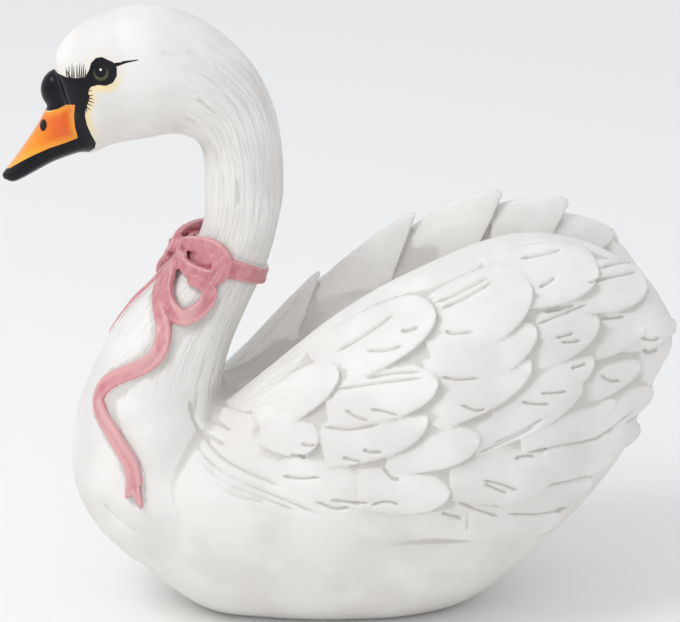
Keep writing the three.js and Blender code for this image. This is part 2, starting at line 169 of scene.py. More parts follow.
# Wing: x, ridge y, widest y, ridge z, widest z, lower edge z.
WING = [
    (-92, 26, 84, 141, 96, 88),
    (-50, 34, 97, 179, 100, 78),
    (-5, 35, 107, 216, 108, 78),
    (30, 35, 110, 238, 115, 80),
    (57, 35, 110, 251, 122, 80),
    (90, 32, 107, 264, 128, 76),
    (111, 25, 102, 267, 132, 75),
    (140, 23, 91, 266, 142, 80),
    (165, 24, 76, 259, 154, 108),
    (190, 30, 64, 246, 170, 136),
    (208, 37, 56, 229, 190, 174),
    (218, 43, 50, 208, 196, 190),
]
FAR_WING_LENGTH = 0.975
SHIFT_X = cad_box[0][0] / MM - BILL[-1][1]
add_camera(Vector((AIM_DRAWN[0] + SHIFT_X, AIM_DRAWN[1], AIM_DRAWN[2])) * MM)
print("drawn x is moved by", round(SHIFT_X, 2), "mm")


# %% A fair curve through the rows
def fair_curve(rows):
    """A smooth curve through the rows of a table, whose first column is the key.

    Between two rows it is a cubic that keeps each row's tangent, so it never kinks.
    """
    table = np.array(rows, float)
    keys, values = table[:, 0], table[:, 1:]
    slopes = np.diff(values, axis=0) / np.diff(keys)[:, None]
    before, after = np.diff(keys)[:-1, None], np.diff(keys)[1:, None]
    middle = (slopes[:-1] * after + slopes[1:] * before) / (before + after)
    tangents = np.vstack([slopes[:1], middle, slopes[-1:]])

    def at(key):
        key = np.clip(np.asarray(key, float), keys[0], keys[-1])
        i = np.clip(np.searchsorted(keys, key, side="right") - 1, 0, len(keys) - 2)
        span = (keys[i + 1] - keys[i])[..., None]
        p = (key - keys[i])[..., None] / span
        q = 1 - p
        return (
            (1 + 2 * p) * q * q * values[i]
            + p * q * q * span * tangents[i]
            + p * p * (3 - 2 * p) * values[i + 1]
            - p * p * q * span * tangents[i + 1]
        )

    return at


body_at, neck_at, bill_at, wing_at = (fair_curve(t) for t in (BODY, NECK, BILL, WING))


# %% [markdown]
# ## One way to raise a skin
# Every form here is a tube of sections: the body, the neck, a feather, a ribbon. Each could
# be extruded ring by ring in edit mode, but its sections are already in a table. So a flat
# grid is added, its points are moved onto the sections, the seam is welded and both ends are
# filled. That gives a closed form, which the fusing step further on needs.


# %% A grid bent into a closed tube
# Points of the seam that are closer than this, in millimetres, become one.
SEAM_MM = 0.002
BALL_GRID = {"segments": 40, "ring_count": 24}


def points_of(piece):
    """The piece's points, as rows of x, y and z in metres."""
    flat = np.empty(len(piece.data.vertices) * 3)
    piece.data.vertices.foreach_get("co", flat)
    return flat.reshape(-1, 3)


def set_points(piece, points):
    """Move the piece's points, given as rows of x, y and z in metres."""
    piece.data.vertices.foreach_set("co", np.ascontiguousarray(points, float).ravel())
    piece.data.update()


def tube(name, sections):
    """A closed skin over sections, an array of rings of points in drawn millimetres."""
    sections = np.asarray(sections, float)
    count, around = sections.shape[:2]
    bpy.ops.object.select_all(action="DESELECT")
    bpy.ops.mesh.primitive_grid_add(x_subdivisions=around, y_subdivisions=count - 1, size=2)
    piece = bpy.context.object
    piece.name = name
    flat = points_of(piece)
    column = np.rint((flat[:, 0] + 1) / 2 * around).astype(int) % around
    row = np.rint((flat[:, 1] + 1) / 2 * (count - 1)).astype(int)
    set_points(piece, (sections[row, column] + (SHIFT_X, 0, 0)) * MM)
    bpy.ops.object.mode_set(mode="EDIT")
    bpy.ops.mesh.select_all(action="SELECT")
    bpy.ops.mesh.remove_doubles(threshold=SEAM_MM * MM)
    bpy.ops.mesh.fill_holes(sides=0)
    bpy.ops.mesh.normals_make_consistent(inside=False)
    bpy.ops.object.mode_set(mode="OBJECT")
    return piece


def ball(name, radius, centre, stretch=(1, 1, 1)):
    """A ball stretched along x, y and z, from a radius and a centre in drawn millimetres."""
    bpy.ops.object.select_all(action="DESELECT")
    bpy.ops.mesh.primitive_uv_sphere_add(radius=radius * MM, **BALL_GRID)
    piece = bpy.context.object
    piece.name = name
    middle = np.array(centre) + (SHIFT_X, 0, 0)
    set_points(piece, points_of(piece) * stretch + middle * MM)
    return piece


def turns(count):
    """Angles once round, evenly spaced."""
    return np.linspace(0, 2 * np.pi, count, endpoint=False)


# %% [markdown]
# ## Body, neck and head
# The body is an egg laid on its side, cut flat where it stands. The neck and head are one
# tube that starts inside the face, passes over the crown and widens into the breast. A
# sphere sculpted by eye could give both, but sections can be checked one by one against the
# outline of the real swan.


# %% Body and neck
# How many points go round a section, and how many sections there are.
BODY_GRID = {"round": 112, "sections": 90}
NECK_GRID = {"round": 72, "sections": 150}


def body_sections():
    """Rings across the body, cut off at the level that it stands on."""
    angle = turns(BODY_GRID["round"])
    middle, reach = (BODY[0][0] + BODY[-1][0]) / 2, (BODY[-1][0] - BODY[0][0]) / 2
    rings = []
    for share in np.linspace(0, 1, BODY_GRID["sections"]):
        x = middle - reach * math.cos(math.pi * share)
        under, back, half, widest = body_at(x)
        height = np.where(np.sin(angle) > 0, back - widest, widest - under)
        z = np.maximum(0, widest + height * np.sin(angle))
        rings.append(np.column_stack([np.full_like(z, x), -half * np.cos(angle), z]))
    return rings


def on_neck(station, angle, lift=0):
    """Points of the neck's skin, at angles round from the throat towards the near side."""
    station, angle, lift = np.broadcast_arrays(np.asarray(station, float), angle, lift)
    nape_x, nape_z, throat_x, throat_z, half = np.moveaxis(neck_at(station), -1, 0)
    across_x, across_z = (nape_x - throat_x) / 2, (nape_z - throat_z) / 2
    depth = np.hypot(across_x, across_z)
    out = np.stack(
        [
            -across_x / depth * np.cos(angle) / depth,
            -np.sin(angle) / half,
            -across_z / depth * np.cos(angle) / depth,
        ],
        -1,
    )
    out /= np.linalg.norm(out, axis=-1, keepdims=True)
    skin = np.stack(
        [
            (nape_x + throat_x) / 2 - across_x * np.cos(angle),
            -half * np.sin(angle),
            (nape_z + throat_z) / 2 - across_z * np.cos(angle),
        ],
        -1,
    )
    return skin + out * lift[..., None]


def neck_sections():
    stations = np.linspace(0, NECK[-1][0], NECK_GRID["sections"])
    return [on_neck(station, turns(NECK_GRID["round"])) for station in stations]


# %% [markdown]
# ## Wings
# Each wing is a folded shell: its outer side bulges like a barrel from the lower edge up to
# a ridge, and its inner wall drops into the valley between the two wings. The outer side is
# part of an ellipse, so that a feather can later be laid at any angle round it.

# %% Wing skin
LOWER_ARC = math.radians(-25)


def on_wing(x, angle):
    """Points of the near wing, at angles up from its widest place; 90 degrees is the ridge."""
    x, angle = np.broadcast_arrays(np.asarray(x, float), np.asarray(angle, float))
    ridge_y, widest_y, ridge_z, widest_z, low_z = np.moveaxis(wing_at(x), -1, 0)
    rise = np.where(angle > 0, ridge_z - widest_z, (widest_z - low_z) / math.sin(-LOWER_ARC))
    y = ridge_y + (widest_y - ridge_y) * np.cos(angle)
    return np.stack([x, -y, widest_z + rise * np.sin(angle)], -1)


# Inner wall: step, how far in from the ridge as a share of the way to the middle of the swan,
# and how far down as a share of the way to the lower edge.
INNER_WALL = [
    (0, 0, 0),
    (1, 0.06, 0.015),
    (2, 0.2, 0.13),
    (3, 0.42, 0.24),
    (4, 0.74, 0.38),
    (5, 0.8, 0.95),
]
RIDGE_ROUNDING = 0.15
WING_GRID = {"outer": 40, "inner": 30, "sections": 110}


def on_far_side(points):
    """The near wing's points, mirrored and shortened for the far wing."""
    front = WING[0][0]
    moved = points * (FAR_WING_LENGTH, -1, 1)
    moved[..., 0] += front * (1 - FAR_WING_LENGTH)
    return moved


def wing_sections(far):
    """Rings across a wing: up the outer side, over the ridge and down the inner wall."""
    rings = []
    steps = np.linspace(RIDGE_ROUNDING, INNER_WALL[-1][0], WING_GRID["inner"])
    inset, down = fair_curve(INNER_WALL)(steps).T
    for x in np.linspace(WING[0][0], WING[-1][0], WING_GRID["sections"]):
        ridge_y, _, ridge_z, _, low_z = wing_at(x)
        outer = on_wing(x, np.linspace(LOWER_ARC, math.pi / 2, WING_GRID["outer"]))
        z = ridge_z + (low_z - ridge_z) * down
        inner = np.column_stack([np.full_like(z, x), -ridge_y * (1 - inset), z])
        rings.append(np.vstack([outer, inner]))
    rings = np.array(rings)
    return on_far_side(rings) if far else rings


# %% [markdown]
# ## Bill, knob and eyes
# The bill is widest low down, so its upper side falls away from a narrow ridge. The knob at
# its root and the eyes are balls, sunk in the head, as a modeller presses in balls of clay.

# %% Bill, knob and eyes
KNOB_RADIUS = 13.5
KNOB_CENTRE = (-183, 0, 361.5)
EYE_RADIUS = 7.5
EYE_CENTRE = (-156, 23, 377)
KNOB_STRETCH = (0.95, 0.8, 1.05)
BILL_GRID = {"round": 56, "sections": 60}
BILL_RIDGE = 0.22


def bill_sections():
    """Rings across the bill, from its root in the face to its tip."""
    angle = turns(BILL_GRID["round"])
    spread = np.sin(angle) * (1 - BILL_RIDGE * np.cos(angle))
    stations = np.linspace(0, BILL[-1][0], BILL_GRID["sections"])
    rings = []
    for upper_x, upper_z, lower_x, lower_z, half in bill_at(stations):
        x = (upper_x + lower_x) / 2 + (upper_x - lower_x) / 2 * np.cos(angle)
        z = (upper_z + lower_z) / 2 + (upper_z - lower_z) / 2 * np.cos(angle)
        rings.append(np.column_stack([x, -half * spread, z]))
    return rings


def face_forms():
    """Bill, knob and both eyes: laid on twice, so that the second fusing keeps them crisp."""
    forms = [
        tube("bill", bill_sections()),
        ball("knob", KNOB_RADIUS, KNOB_CENTRE, KNOB_STRETCH),
    ]
    for side in (-1, 1):
        centre = (EYE_CENTRE[0], side * EYE_CENTRE[1], EYE_CENTRE[2])
        forms.append(ball("eye", EYE_RADIUS, centre))
    return forms


# %% The large forms
core = [
    tube("body", body_sections()),
    tube("neck_and_head", neck_sections()),
    tube("near_wing", wing_sections(False)),
    tube("far_wing", wing_sections(True)),
    *face_forms(),
]
print("core forms:", [len(piece.data.vertices) for piece in core], "points")

# %% [markdown]
# ## Fusing forms, as clay
# Voxel remesh wraps everything that overlaps in one new skin of even squares. A few rounds
# of smoothing then soften the inner corners where two forms meet, as a thumb does in clay.
# The large forms are fused first, on coarse voxels, so their joins get the widest fillets.


# %% Join, remesh and smooth
CORE_VOXEL, CORE_ROUNDS = 2.2, 26
SKIN_VOXEL, SKIN_ROUNDS = 1.0, 1


def fuse(name, pieces, voxel, smooth_rounds):
    """One skin of voxel-sized squares, in millimetres, over all the pieces."""
    bpy.ops.object.select_all(action="DESELECT")
    for piece in pieces:
        piece.select_set(True)
    bpy.context.view_layer.objects.active = pieces[0]
    bpy.ops.object.join()
    whole = bpy.context.object
    whole.name = name
    remesh = whole.modifiers.new("skin", "REMESH")
    remesh.mode = "VOXEL"
    remesh.voxel_size = voxel * MM
    bpy.ops.object.modifier_apply(modifier=remesh.name)
    smooth = whole.modifiers.new("thumb", "SMOOTH")
    smooth.factor = 0.5
    smooth.iterations = smooth_rounds
    bpy.ops.object.modifier_apply(modifier=smooth.name)
    print(name, "fused:", len(whole.data.polygons), "squares of", voxel, "mm")
    return whole


casting = fuse("swan_core", core, CORE_VOXEL, CORE_ROUNDS)

# %% [markdown]
# ## Feathers
# Wing feathers overlap like tiles: each one's lower edge and tip stand over the next. They
# could be sculpted with a brush, but a table can be measured and changed row by row. They
# are laid out in a plane that looks down on the wing as the picture does, and then felt down
# onto the wing's skin.

# %% Feather table
# Tip along and up, root along and up, width, lift of the lower edge, lift of the upper edge,
# which only the crest's feathers have.
FEATHERS = [
    (-6, 157, -58, 122, 27, 5, 3),
    (-19, 110, -55, 120, 30, 4, 0),
    (57, 195, -18, 157, 38, 6, 3),
    (58, 148, -14, 135, 38, 6, 0),
    (51, 124, -17, 106, 36, 5, 0),
    (120, 210, 49, 176, 48, 6, 3),
    (123, 181, 53, 150, 37, 6, 0),
    (119, 159, 43, 126, 36, 6, 0),
    (85, 110, 24, 102, 34, 5, 0),
    (66, 75, 7, 77, 32, 4.5, 0),
    (167, 219, 92, 211, 42, 6, 3),
    (166, 186, 105, 164, 34, 5, 0),
    (162, 160, 92, 128, 31, 5, 0),
    (154, 143, 79, 109, 28, 4.5, 0),
    (132, 79, 66, 83, 32, 3.5, 0),
    (200, 208, 140, 207, 36, 5, 3),
    (197, 179, 136, 166, 26, 3.5, 0),
    (195, 155, 132, 134, 24, 3.5, 0),
    (178, 132, 112, 108, 23, 3, 0),
    (220, 183, 158, 184, 40, 3, 0),
    (205, 137, 139, 114, 26, 3, 0),
    (197, 112, 129, 98, 26, 3, 0),
    (177, 95, 109, 82, 23, 3, 0),
    (163, 79, 99, 65, 23, 3, 0),
    (142, 57, 79, 55, 22, 3, 0),
]
# How far a feather goes into the wing, how much its lift is raised, how much its middle
# arches, how thin it starts, and how square its tip is: a crest feather's is squarer.
FEATHER_ROOT = 4
FEATHER_LIFT = 1.15
CROWN = 1.2
ROOT_LIFT = 0.15
ROUND_TIP, SQUARE_TIP = 6, 14
FEATHER_GRID = {"along": 30, "across": 21}
COS_TILT, SIN_TILT = math.cos(ELEVATION), math.sin(ELEVATION)


# %% Lay a feather on the wing
FELT_ROUNDS = 3


def seen_angle(x, up):
    """The angle of the wing's skin that is seen at a height of the tilted plane."""
    ridge_y, widest_y, ridge_z, widest_z, low_z = np.moveaxis(wing_at(x), -1, 0)
    middle = widest_z * COS_TILT - ridge_y * SIN_TILT
    outward = (widest_y - ridge_y) * SIN_TILT
    low_rise = (widest_z - low_z) / math.sin(-LOWER_ARC)
    upward = np.where(up > middle - outward, ridge_z - widest_z, low_rise) * COS_TILT
    share = np.clip((up - middle) / np.hypot(upward, outward), -1, 1)
    return np.arcsin(share) + np.arctan2(outward, upward)


def wing_normal(x, angle):
    """The way that the near wing's skin faces."""
    ridge_y, widest_y, ridge_z, widest_z, low_z = np.moveaxis(wing_at(x), -1, 0)
    rise = np.where(angle > 0, ridge_z - widest_z, (widest_z - low_z) / math.sin(-LOWER_ARC))
    out = -np.cos(angle) / np.maximum(widest_y - ridge_y, 1)
    up = np.sin(angle) / np.maximum(rise, 1)
    length = np.hypot(out, up)
    return np.stack([np.zeros_like(out), out / length, up / length], -1)


def felt_on_wing(x, up, lift):
    """Points that stand off the wing by lift and are seen at (x, up) of the plane."""
    angle = seen_angle(x, up)
    for _ in range(FELT_ROUNDS):
        raised = wing_normal(x, angle) * np.maximum(lift, 0)[..., None]
        angle = seen_angle(x, up - raised[..., 2] * COS_TILT - raised[..., 1] * SIN_TILT)
    return on_wing(x, angle) + wing_normal(x, angle) * lift[..., None]


# %% The shape of a feather
def feather_half(share, square=ROUND_TIP):
    """Half a feather's width along its length, as a share of the widest.

    It starts at four fifths at the root, and a higher power makes the tip squarer.
    """
    return (0.8 + 0.2 * np.sin(np.pi * share)) * np.sqrt(1 - share**square)


def feather_sections(tip_x, tip_up, root_x, root_up, width, lift, upper):
    # The sections crowd towards the tip, and the points of each towards its two edges.
    share = 1 - (1 - np.linspace(0, 1, FEATHER_GRID["along"])) ** 1.7 * 0.999 - 0.001
    side = np.sin(np.linspace(-1, 1, FEATHER_GRID["across"]) * np.pi / 2)
    share, side = np.meshgrid(share, side, indexing="ij")
    along = np.array([tip_x - root_x, tip_up - root_up], float)
    across = np.array([-along[1], along[0]]) / np.hypot(*along)
    square = np.where((side > 0) & (upper > 0), SQUARE_TIP, ROUND_TIP)
    out = width / 2 * feather_half(share, square) * side
    x = root_x + along[0] * share + across[0] * out
    up = root_up + along[1] * share + across[1] * out
    lift = lift * FEATHER_LIFT
    low_side = lift * (0.5 - 0.5 * side)
    high_side = lift * 0.5 + (upper - lift * 0.5) * side
    height = (ROOT_LIFT + (1 - ROOT_LIFT) * share) * np.where(side < 0, low_side, high_side)
    height = height + CROWN * (1 - side**2)
    top = felt_on_wing(x, up, height)
    inward = wing_normal(x, seen_angle(x, up))
    under = top - inward * (height + FEATHER_ROOT)[..., None]
    return np.concatenate([top, under[:, ::-1]], axis=1)


relief = face_forms()
for number, row in enumerate(FEATHERS):
    relief.append(tube(f"near_feather_{number}", feather_sections(*row)))
    relief.append(tube(f"far_feather_{number}", on_far_side(feather_sections(*row))))
print(len(FEATHERS), "feathers on each wing")


# %% [markdown]
# ## Crest and tail
# The longest feathers end on the ridge of the far wing, and their tips stand up past it one
# after another. Each is a blade along the ridge: its upper edge rises to the tip, and its
# face drops into the valley. The tail is a small fan of flat feathers behind the body, mostly
# covered by the wings.


# %% Crest feathers
# X where the upper edge leaves the ridge and x of the tip, height of the tip over the ridge,
# and how deep the face goes.
FAR_CREST = [
    (-60, -9, 10, 20),
    (-14, 57, 13, 26),
    (52, 116, 14, 26),
    (108, 162, 14, 22),
    (150, 197, 6, 18),
]
# How far a tip stands out of the wall, how thick the blade is, and how much its lower edge
# lags behind the upper one. Down the face there are three heights, each with its own inset.
CREST = {"proud": 3.5, "thick": 7, "backward": 9}
CREST_INSET = (2.5, -3.5, -7)
CREST_MIDDLE = 8
CREST_TIP = {"from": 0.86, "rounding": 0.22}
CREST_GRID = {"along": 34, "down": 14}


def crest_sections(root_x, tip_x, rise, deep):
    """A blade along the ridge, whose inner face lies a little proud of the inner wall."""
    rings = []
    step = np.linspace(0, 2, CREST_GRID["down"])
    for share in np.linspace(0, 1, CREST_GRID["along"]):
        x = root_x + (tip_x - CREST["backward"] * step * share - root_x) * share
        ridge = on_wing(x, math.pi / 2)
        to_tip = max(share - CREST_TIP["from"], 0) / (1 - CREST_TIP["from"])
        rounded = 1 - CREST_TIP["rounding"] * to_tip**2
        down = np.interp(step, (0, 1, 2), (-rise * share * rounded, CREST_MIDDLE, deep))
        inset = np.interp(step, (0, 1, 2), CREST_INSET)
        y = ridge[:, 1] - inset + CREST["proud"] * share
        inner = np.column_stack([x, y, ridge[:, 2] - down])
        rings.append(np.vstack([inner, (inner - (0, CREST["thick"], 0))[::-1]]))
    return np.array(rings)


for row in FAR_CREST:
    relief.append(tube("crest_feather", on_far_side(crest_sections(*row))))
print(len(FAR_CREST), "crest feathers")

# %% Tail feathers
TAIL = {"count": 5, "root_x": 120, "tip_x": 186, "z": 116, "width": 24, "fan": 24}
TAIL |= {"cant": 5, "droop": 4, "arch": 3, "thick": 6, "shorter": 10, "together": 0.45}
TAIL_GRID = {"along": 20, "across": 13}


def tail_sections(place):
    """One feather of the fan, from -1 on the near side to 1 on the far side."""
    share = np.linspace(0, 0.995, TAIL_GRID["along"])
    side = np.sin(np.linspace(-1, 1, TAIL_GRID["across"]) * np.pi / 2)
    share, side = np.meshgrid(share, side, indexing="ij")
    length = TAIL["tip_x"] - TAIL["root_x"] - TAIL["shorter"] * place**2
    out = TAIL["width"] / 2 * feather_half(share) * side
    out = out + place * TAIL["fan"] * (TAIL["together"] + (1 - TAIL["together"]) * share)
    arch = TAIL["arch"] * (1 - side**2)
    z = TAIL["z"] + arch + TAIL["cant"] * (1 - abs(place)) - TAIL["droop"] * share
    top = np.stack([TAIL["root_x"] + length * share, out, z], -1)
    return np.concatenate([top, (top - (0, 0, TAIL["thick"]))[:, ::-1]], axis=1)


for place in np.linspace(-1, 1, TAIL["count"]):
    relief.append(tube("tail_feather", tail_sections(place)))
print(TAIL["count"], "tail feathers")

# %% [markdown]
# ## Ribbon and bow
# The real ribbon is relief, modelled on the neck as a flat strip: a band, two loops a side, a
# knot and two tails with forked ends. A curve with a bevel profile could give it, but would
# not know the neck. Here each row gives a place on the neck, so the strip always lies on it.

# %% Ribbon tables
# Station of the neck, degrees round from the throat, millimetres off the skin, width.
UPPER_LOOP = [
    (9.21, 30, 6, 9),
    (9.18, 12, 6.5, 9),
    (9.0, 3, 6.5, 9),
    (8.78, 17, 6, 10),
    (8.62, 41, 4, 11),
    (8.68, 62, 3, 13),
    (8.93, 77, 2, 14),
    (9.19, 81, 2, 13),
    (9.36, 76, 3, 12),
    (9.38, 61, 4, 11),
    (9.35, 42, 5, 10),
    (9.26, 28, 6, 9),
]
LOWER_LOOP = [
    (9.4, 14, 5, 8),
    (9.68, 27, 5, 9),
    (10.0, 38, 4, 10.5),
    (10.29, 57, 3, 11.5),
    (10.36, 75, 3, 11.5),
    (10.18, 84, 3, 11),
    (9.88, 88, 3, 10.5),
    (9.64, 83, 3, 10),
    (9.57, 72, 3, 9),
    (9.54, 52, 4, 8),
]
NEAR_TAIL = [
    (9.3, 4, 4, 8),
    (9.75, 8, 2.5, 9.5),
    (10.14, 20, 1, 10.5),
    (10.39, 42, 1, 11),
    (10.64, 61, 2, 11),
    (10.97, 71, 2, 11),
    (11.31, 72, 2, 11),
    (11.65, 62, 1, 11.5),
    (11.93, 48, 1, 12),
    (12.2, 38, 1, 13),
    (12.47, 36, 1, 13),
    (12.66, 46, 1.8, 12),
    (12.83, 58, 3, 11),
    (13.07, 68, 4, 11),
    (13.35, 75, 3.5, 11),
    (13.74, 77, 2, 10.5),
]
FAR_TAIL = [
    (9.3, -4, 4, 8),
    (9.8, -10, 2.5, 9.5),
    (10.2, -14, 1, 10.5),
    (10.72, -16, 1, 10.5),
    (11.0, -18, 0.5, 9),
    (11.2, -19, 0, 8),
]
# Each prong of a fork: how far it runs on, in stations, and how far round it turns.
FORK_POINTS = [(0.48, 1), (0.24, -7)]
# The band goes round a little more than once, so that its ends overlap, and narrows at the nape.
BAND = {"station": 9.05, "droop": 0.25, "width": 17, "narrow": 10.5, "round": 368, "lift": 1}
FAR_LOOP_LIFT = 1.8
KNOT = {"station": 9.12, "lift": 3, "radius": 8, "stretch": (0.8, 0.9, 1.1)}
RIBBON_THICKNESS = 3
RIBBON_ROOT = 1.5
RIBBON_SINK = 0.5
# Across the strip: share of its width, and of its thickness. The middle is a little hollow,
# so both edges catch the light, as a pressed ribbon's do.
STRIP = [(-0.5, -0.5), (-0.2, -0.5), (0.2, -0.5), (0.5, -0.5), (0.5, 0.1), (0.44, 0.5)]
STRIP += [(0.3, 0.46), (0.12, 0.38), (-0.12, 0.38), (-0.3, 0.46), (-0.44, 0.5), (-0.5, 0.1)]


# %% Sweep the strip
RIBBON_GRID = {"band": 120, "loop": 70, "near_tail": 130, "far_tail": 50, "prong": 14}


def strip_sections(rows, count):
    """The strip along a table's rows, in a number of sections square to its run."""
    at = fair_curve([(n, *row) for n, row in enumerate(rows)])
    station, degrees, lift, width = np.moveaxis(at(np.linspace(0, len(rows) - 1, count)), -1, 0)
    angle = np.radians(degrees)
    thickness = RIBBON_THICKNESS + np.minimum(lift, RIBBON_ROOT)
    middle = on_neck(station, angle, lift + RIBBON_THICKNESS - thickness / 2 - RIBBON_SINK)
    out = on_neck(station, angle, 100) - on_neck(station, angle)
    along = np.gradient(middle, axis=0)
    along /= np.linalg.norm(along, axis=-1, keepdims=True)
    across = np.cross(along, out)
    across /= np.linalg.norm(across, axis=-1, keepdims=True)
    face = np.cross(across, along)
    return [
        [
            middle[n] + across[n] * share * width[n] + face[n] * rise * thickness[n]
            for share, rise in STRIP
        ]
        for n in range(count)
    ]


def mirrored(rows):
    """The same loop on the far side, where it stands further off the neck."""
    return [
        (station, -degrees, lift * FAR_LOOP_LIFT, width) for station, degrees, lift, width in rows
    ]


def fork_rows(rows):
    """The two prongs that a tail ends in, each of three rows that narrow to a point.

    A prong starts a little before the tail's end, so that the two overlap and fuse.
    """
    station, degrees, lift, width = rows[-1]
    turned = math.copysign(1, degrees)
    for ahead, round_by in FORK_POINTS:
        yield [
            (station - 0.12, degrees + turned * round_by / 4, lift, width * 0.6),
            (station + ahead / 2, degrees + turned * round_by / 1.5, lift, width * 0.5),
            (station + ahead, degrees + turned * round_by, lift, width * 0.2),
        ]


def band_rows():
    rows = []
    for share in np.linspace(0, 1, 21):
        nape = math.sin(math.pi * share) ** 2
        station = BAND["station"] + BAND["droop"] * nape**3
        width = BAND["width"] + (BAND["narrow"] - BAND["width"]) * nape
        rows.append((station, BAND["round"] * share, BAND["lift"], width))
    return rows


# %% The ribbon's pieces
ribbon = [tube("ribbon_band", strip_sections(band_rows(), RIBBON_GRID["band"]))]
for rows in (UPPER_LOOP, LOWER_LOOP, mirrored(UPPER_LOOP), mirrored(LOWER_LOOP)):
    ribbon.append(tube("ribbon_loop", strip_sections(rows, RIBBON_GRID["loop"])))
for rows, part in ((NEAR_TAIL, "near_tail"), (FAR_TAIL, "far_tail")):
    ribbon.append(tube("ribbon_tail", strip_sections(rows, RIBBON_GRID[part])))
    for prong in fork_rows(rows):
        ribbon.append(tube("ribbon_fork", strip_sections(prong, RIBBON_GRID["prong"])))
knot_centre = on_neck(KNOT["station"], 0.0, KNOT["lift"])
ribbon.append(ball("ribbon_knot", KNOT["radius"], knot_centre, KNOT["stretch"]))
print(len(ribbon), "ribbon pieces")


# %% [markdown]
# ## One skin over everything
# On the real piece nothing but paint tells ribbon from swan. So before the ribbon is fused
# in, its surface and the bare swan's are kept in two search trees. A point of the fused skin
# that is nearer to the ribbon than to the swan is ribbon.


# %% Search trees, then the fused casting
def tree_of(pieces):
    """A search tree of the pieces' faces, which finds the surface nearest to a point."""
    points, faces = [], []
    for piece in pieces:
        first = len(points)
        points += [tuple(p) for p in points_of(piece)]
        faces += [[first + n for n in face.vertices] for face in piece.data.polygons]
    return BVHTree.FromPolygons(points, faces)


ribbon_tree = tree_of(ribbon)
bare_tree = tree_of([casting])
casting = fuse("swan_casting", [casting, *relief, *ribbon], SKIN_VOXEL, SKIN_ROUNDS)


# %% Which points are ribbon
# The distances are only worked out near the ribbon, and are cut off past a few millimetres.
RIBBON_FRONT_OF, RIBBON_ABOVE, RIBBON_BELOW = -30, 70, 300
FAR_ENOUGH = 4.0


def drawn(points):
    """The drawn millimetres of points in the frame's metres."""
    return points / MM - (SHIFT_X, 0, 0)


def ribbon_distance(piece):
    """Positive on the ribbon, negative on the swan, in millimetres."""
    points = points_of(piece)
    flat = drawn(points)
    near = (flat[:, 0] < RIBBON_FRONT_OF) & (flat[:, 2] > RIBBON_ABOVE)
    near &= flat[:, 2] < RIBBON_BELOW
    result = np.full(len(points), -FAR_ENOUGH)
    for index in np.nonzero(near)[0]:
        point = Vector(points[index])
        _, _, _, to_ribbon = ribbon_tree.find_nearest(point)
        _, _, _, to_swan = bare_tree.find_nearest(point)
        result[index] = (to_swan - to_ribbon) / MM
    return np.clip(result, -FAR_ENOUGH, FAR_ENOUGH)


# %% [markdown]
# ## Tool marks
# After the forms, the sculptor draws a loop tool over the clay: a shaft line and a few
# splits on each wing feather, folds of plumage on the breast, and fine streaks down the
# nape. The strokes are laid out in the picture's plane, where up is measured across the
# tilted view, and are cut into both sides of the swan.

# %% Strokes, in drawn millimetres along and up the tilted plane
WING_STROKES = [
    [(-7, 167), (13, 179), (32, 192)],
    [(-8, 143), (21, 147), (50, 150)],
    [(12, 150), (29, 153), (47, 154)],
    [(-2, 130), (5, 125), (14, 122)],
    [(14, 130), (24, 128), (33, 125)],
    [(-16, 119), (1, 117), (20, 120)],
    [(9, 104), (14, 102), (22, 102)],
    [(-4, 99), (1, 97), (9, 95)],
    [(35, 180), (41, 181), (46, 183)],
    [(12, 168), (25, 168), (36, 171)],
    [(58, 198), (76, 206), (94, 215)],
    [(61, 194), (77, 201), (97, 212)],
    [(114, 226), (129, 229), (144, 232)],
    [(126, 207), (132, 210), (138, 214)],
    [(124, 183), (140, 189), (160, 196)],
    [(128, 191), (140, 193), (150, 195)],
    [(157, 209), (175, 213), (196, 217)],
    [(168, 219), (183, 223), (201, 224)],
    [(82, 99), (105, 108), (125, 118)],
    [(92, 105), (112, 113), (128, 122)],
    [(87, 82), (99, 79), (112, 74)],
    [(88, 80), (96, 76), (104, 73)],
    [(71, 68), (85, 62), (100, 57)],
    [(60, 61), (66, 59), (74, 57)],
    [(14, 67), (24, 69), (33, 67)],
    [(-22, 70), (-9, 65), (1, 66)],
    [(-12, 71), (1, 69), (14, 68)],
    [(-43, 87), (-31, 85), (-18, 86)],
    [(-31, 108), (-26, 107), (-21, 107)],
    [(-38, 101), (-32, 100), (-27, 99)],
    [(112, 98), (139, 103), (168, 108), (195, 128)],
    [(132, 77), (147, 79), (163, 82)],
    [(103, 59), (127, 58), (149, 62)],
    [(167, 186), (175, 186), (184, 187)],
    [(139, 171), (147, 171), (153, 172)],
    [(125, 138), (135, 138), (144, 139)],
    [(112, 133), (122, 131), (132, 131)],
    [(146, 154), (151, 155), (157, 157)],
    [(167, 149), (174, 145), (181, 145)],
    [(60, 150), (72, 148), (85, 149)],
    [(72, 132), (82, 128), (89, 129)],
    [(109, 96), (115, 97), (122, 97)],
    [(194, 173), (203, 171), (208, 173)],
    [(196, 165), (201, 163), (207, 165)],
    [(205, 217), (212, 214), (217, 208)],
    [(22, 92), (28, 85), (33, 84)],
    [(63, 180), (70, 178), (83, 179)],
    [(136, 174), (142, 175), (149, 177)],
]
BREAST_STROKES = [
    [(-95, 120), (-86, 104), (-67, 91), (-38, 78)],
    [(-98, 107), (-86, 94), (-64, 81), (-41, 71), (-12, 58)],
    [(-96, 98), (-80, 83), (-57, 73), (-31, 63)],
    [(-93, 88), (-74, 75), (-51, 69)],
    [(-82, 135), (-70, 130), (-59, 128)],
    [(-162, 71), (-151, 58), (-136, 48)],
    [(-102, 137), (-97, 120), (-86, 107)],
    [(-95, 118), (-89, 113), (-79, 107)],
    [(-90, 125), (-82, 121), (-75, 117)],
]
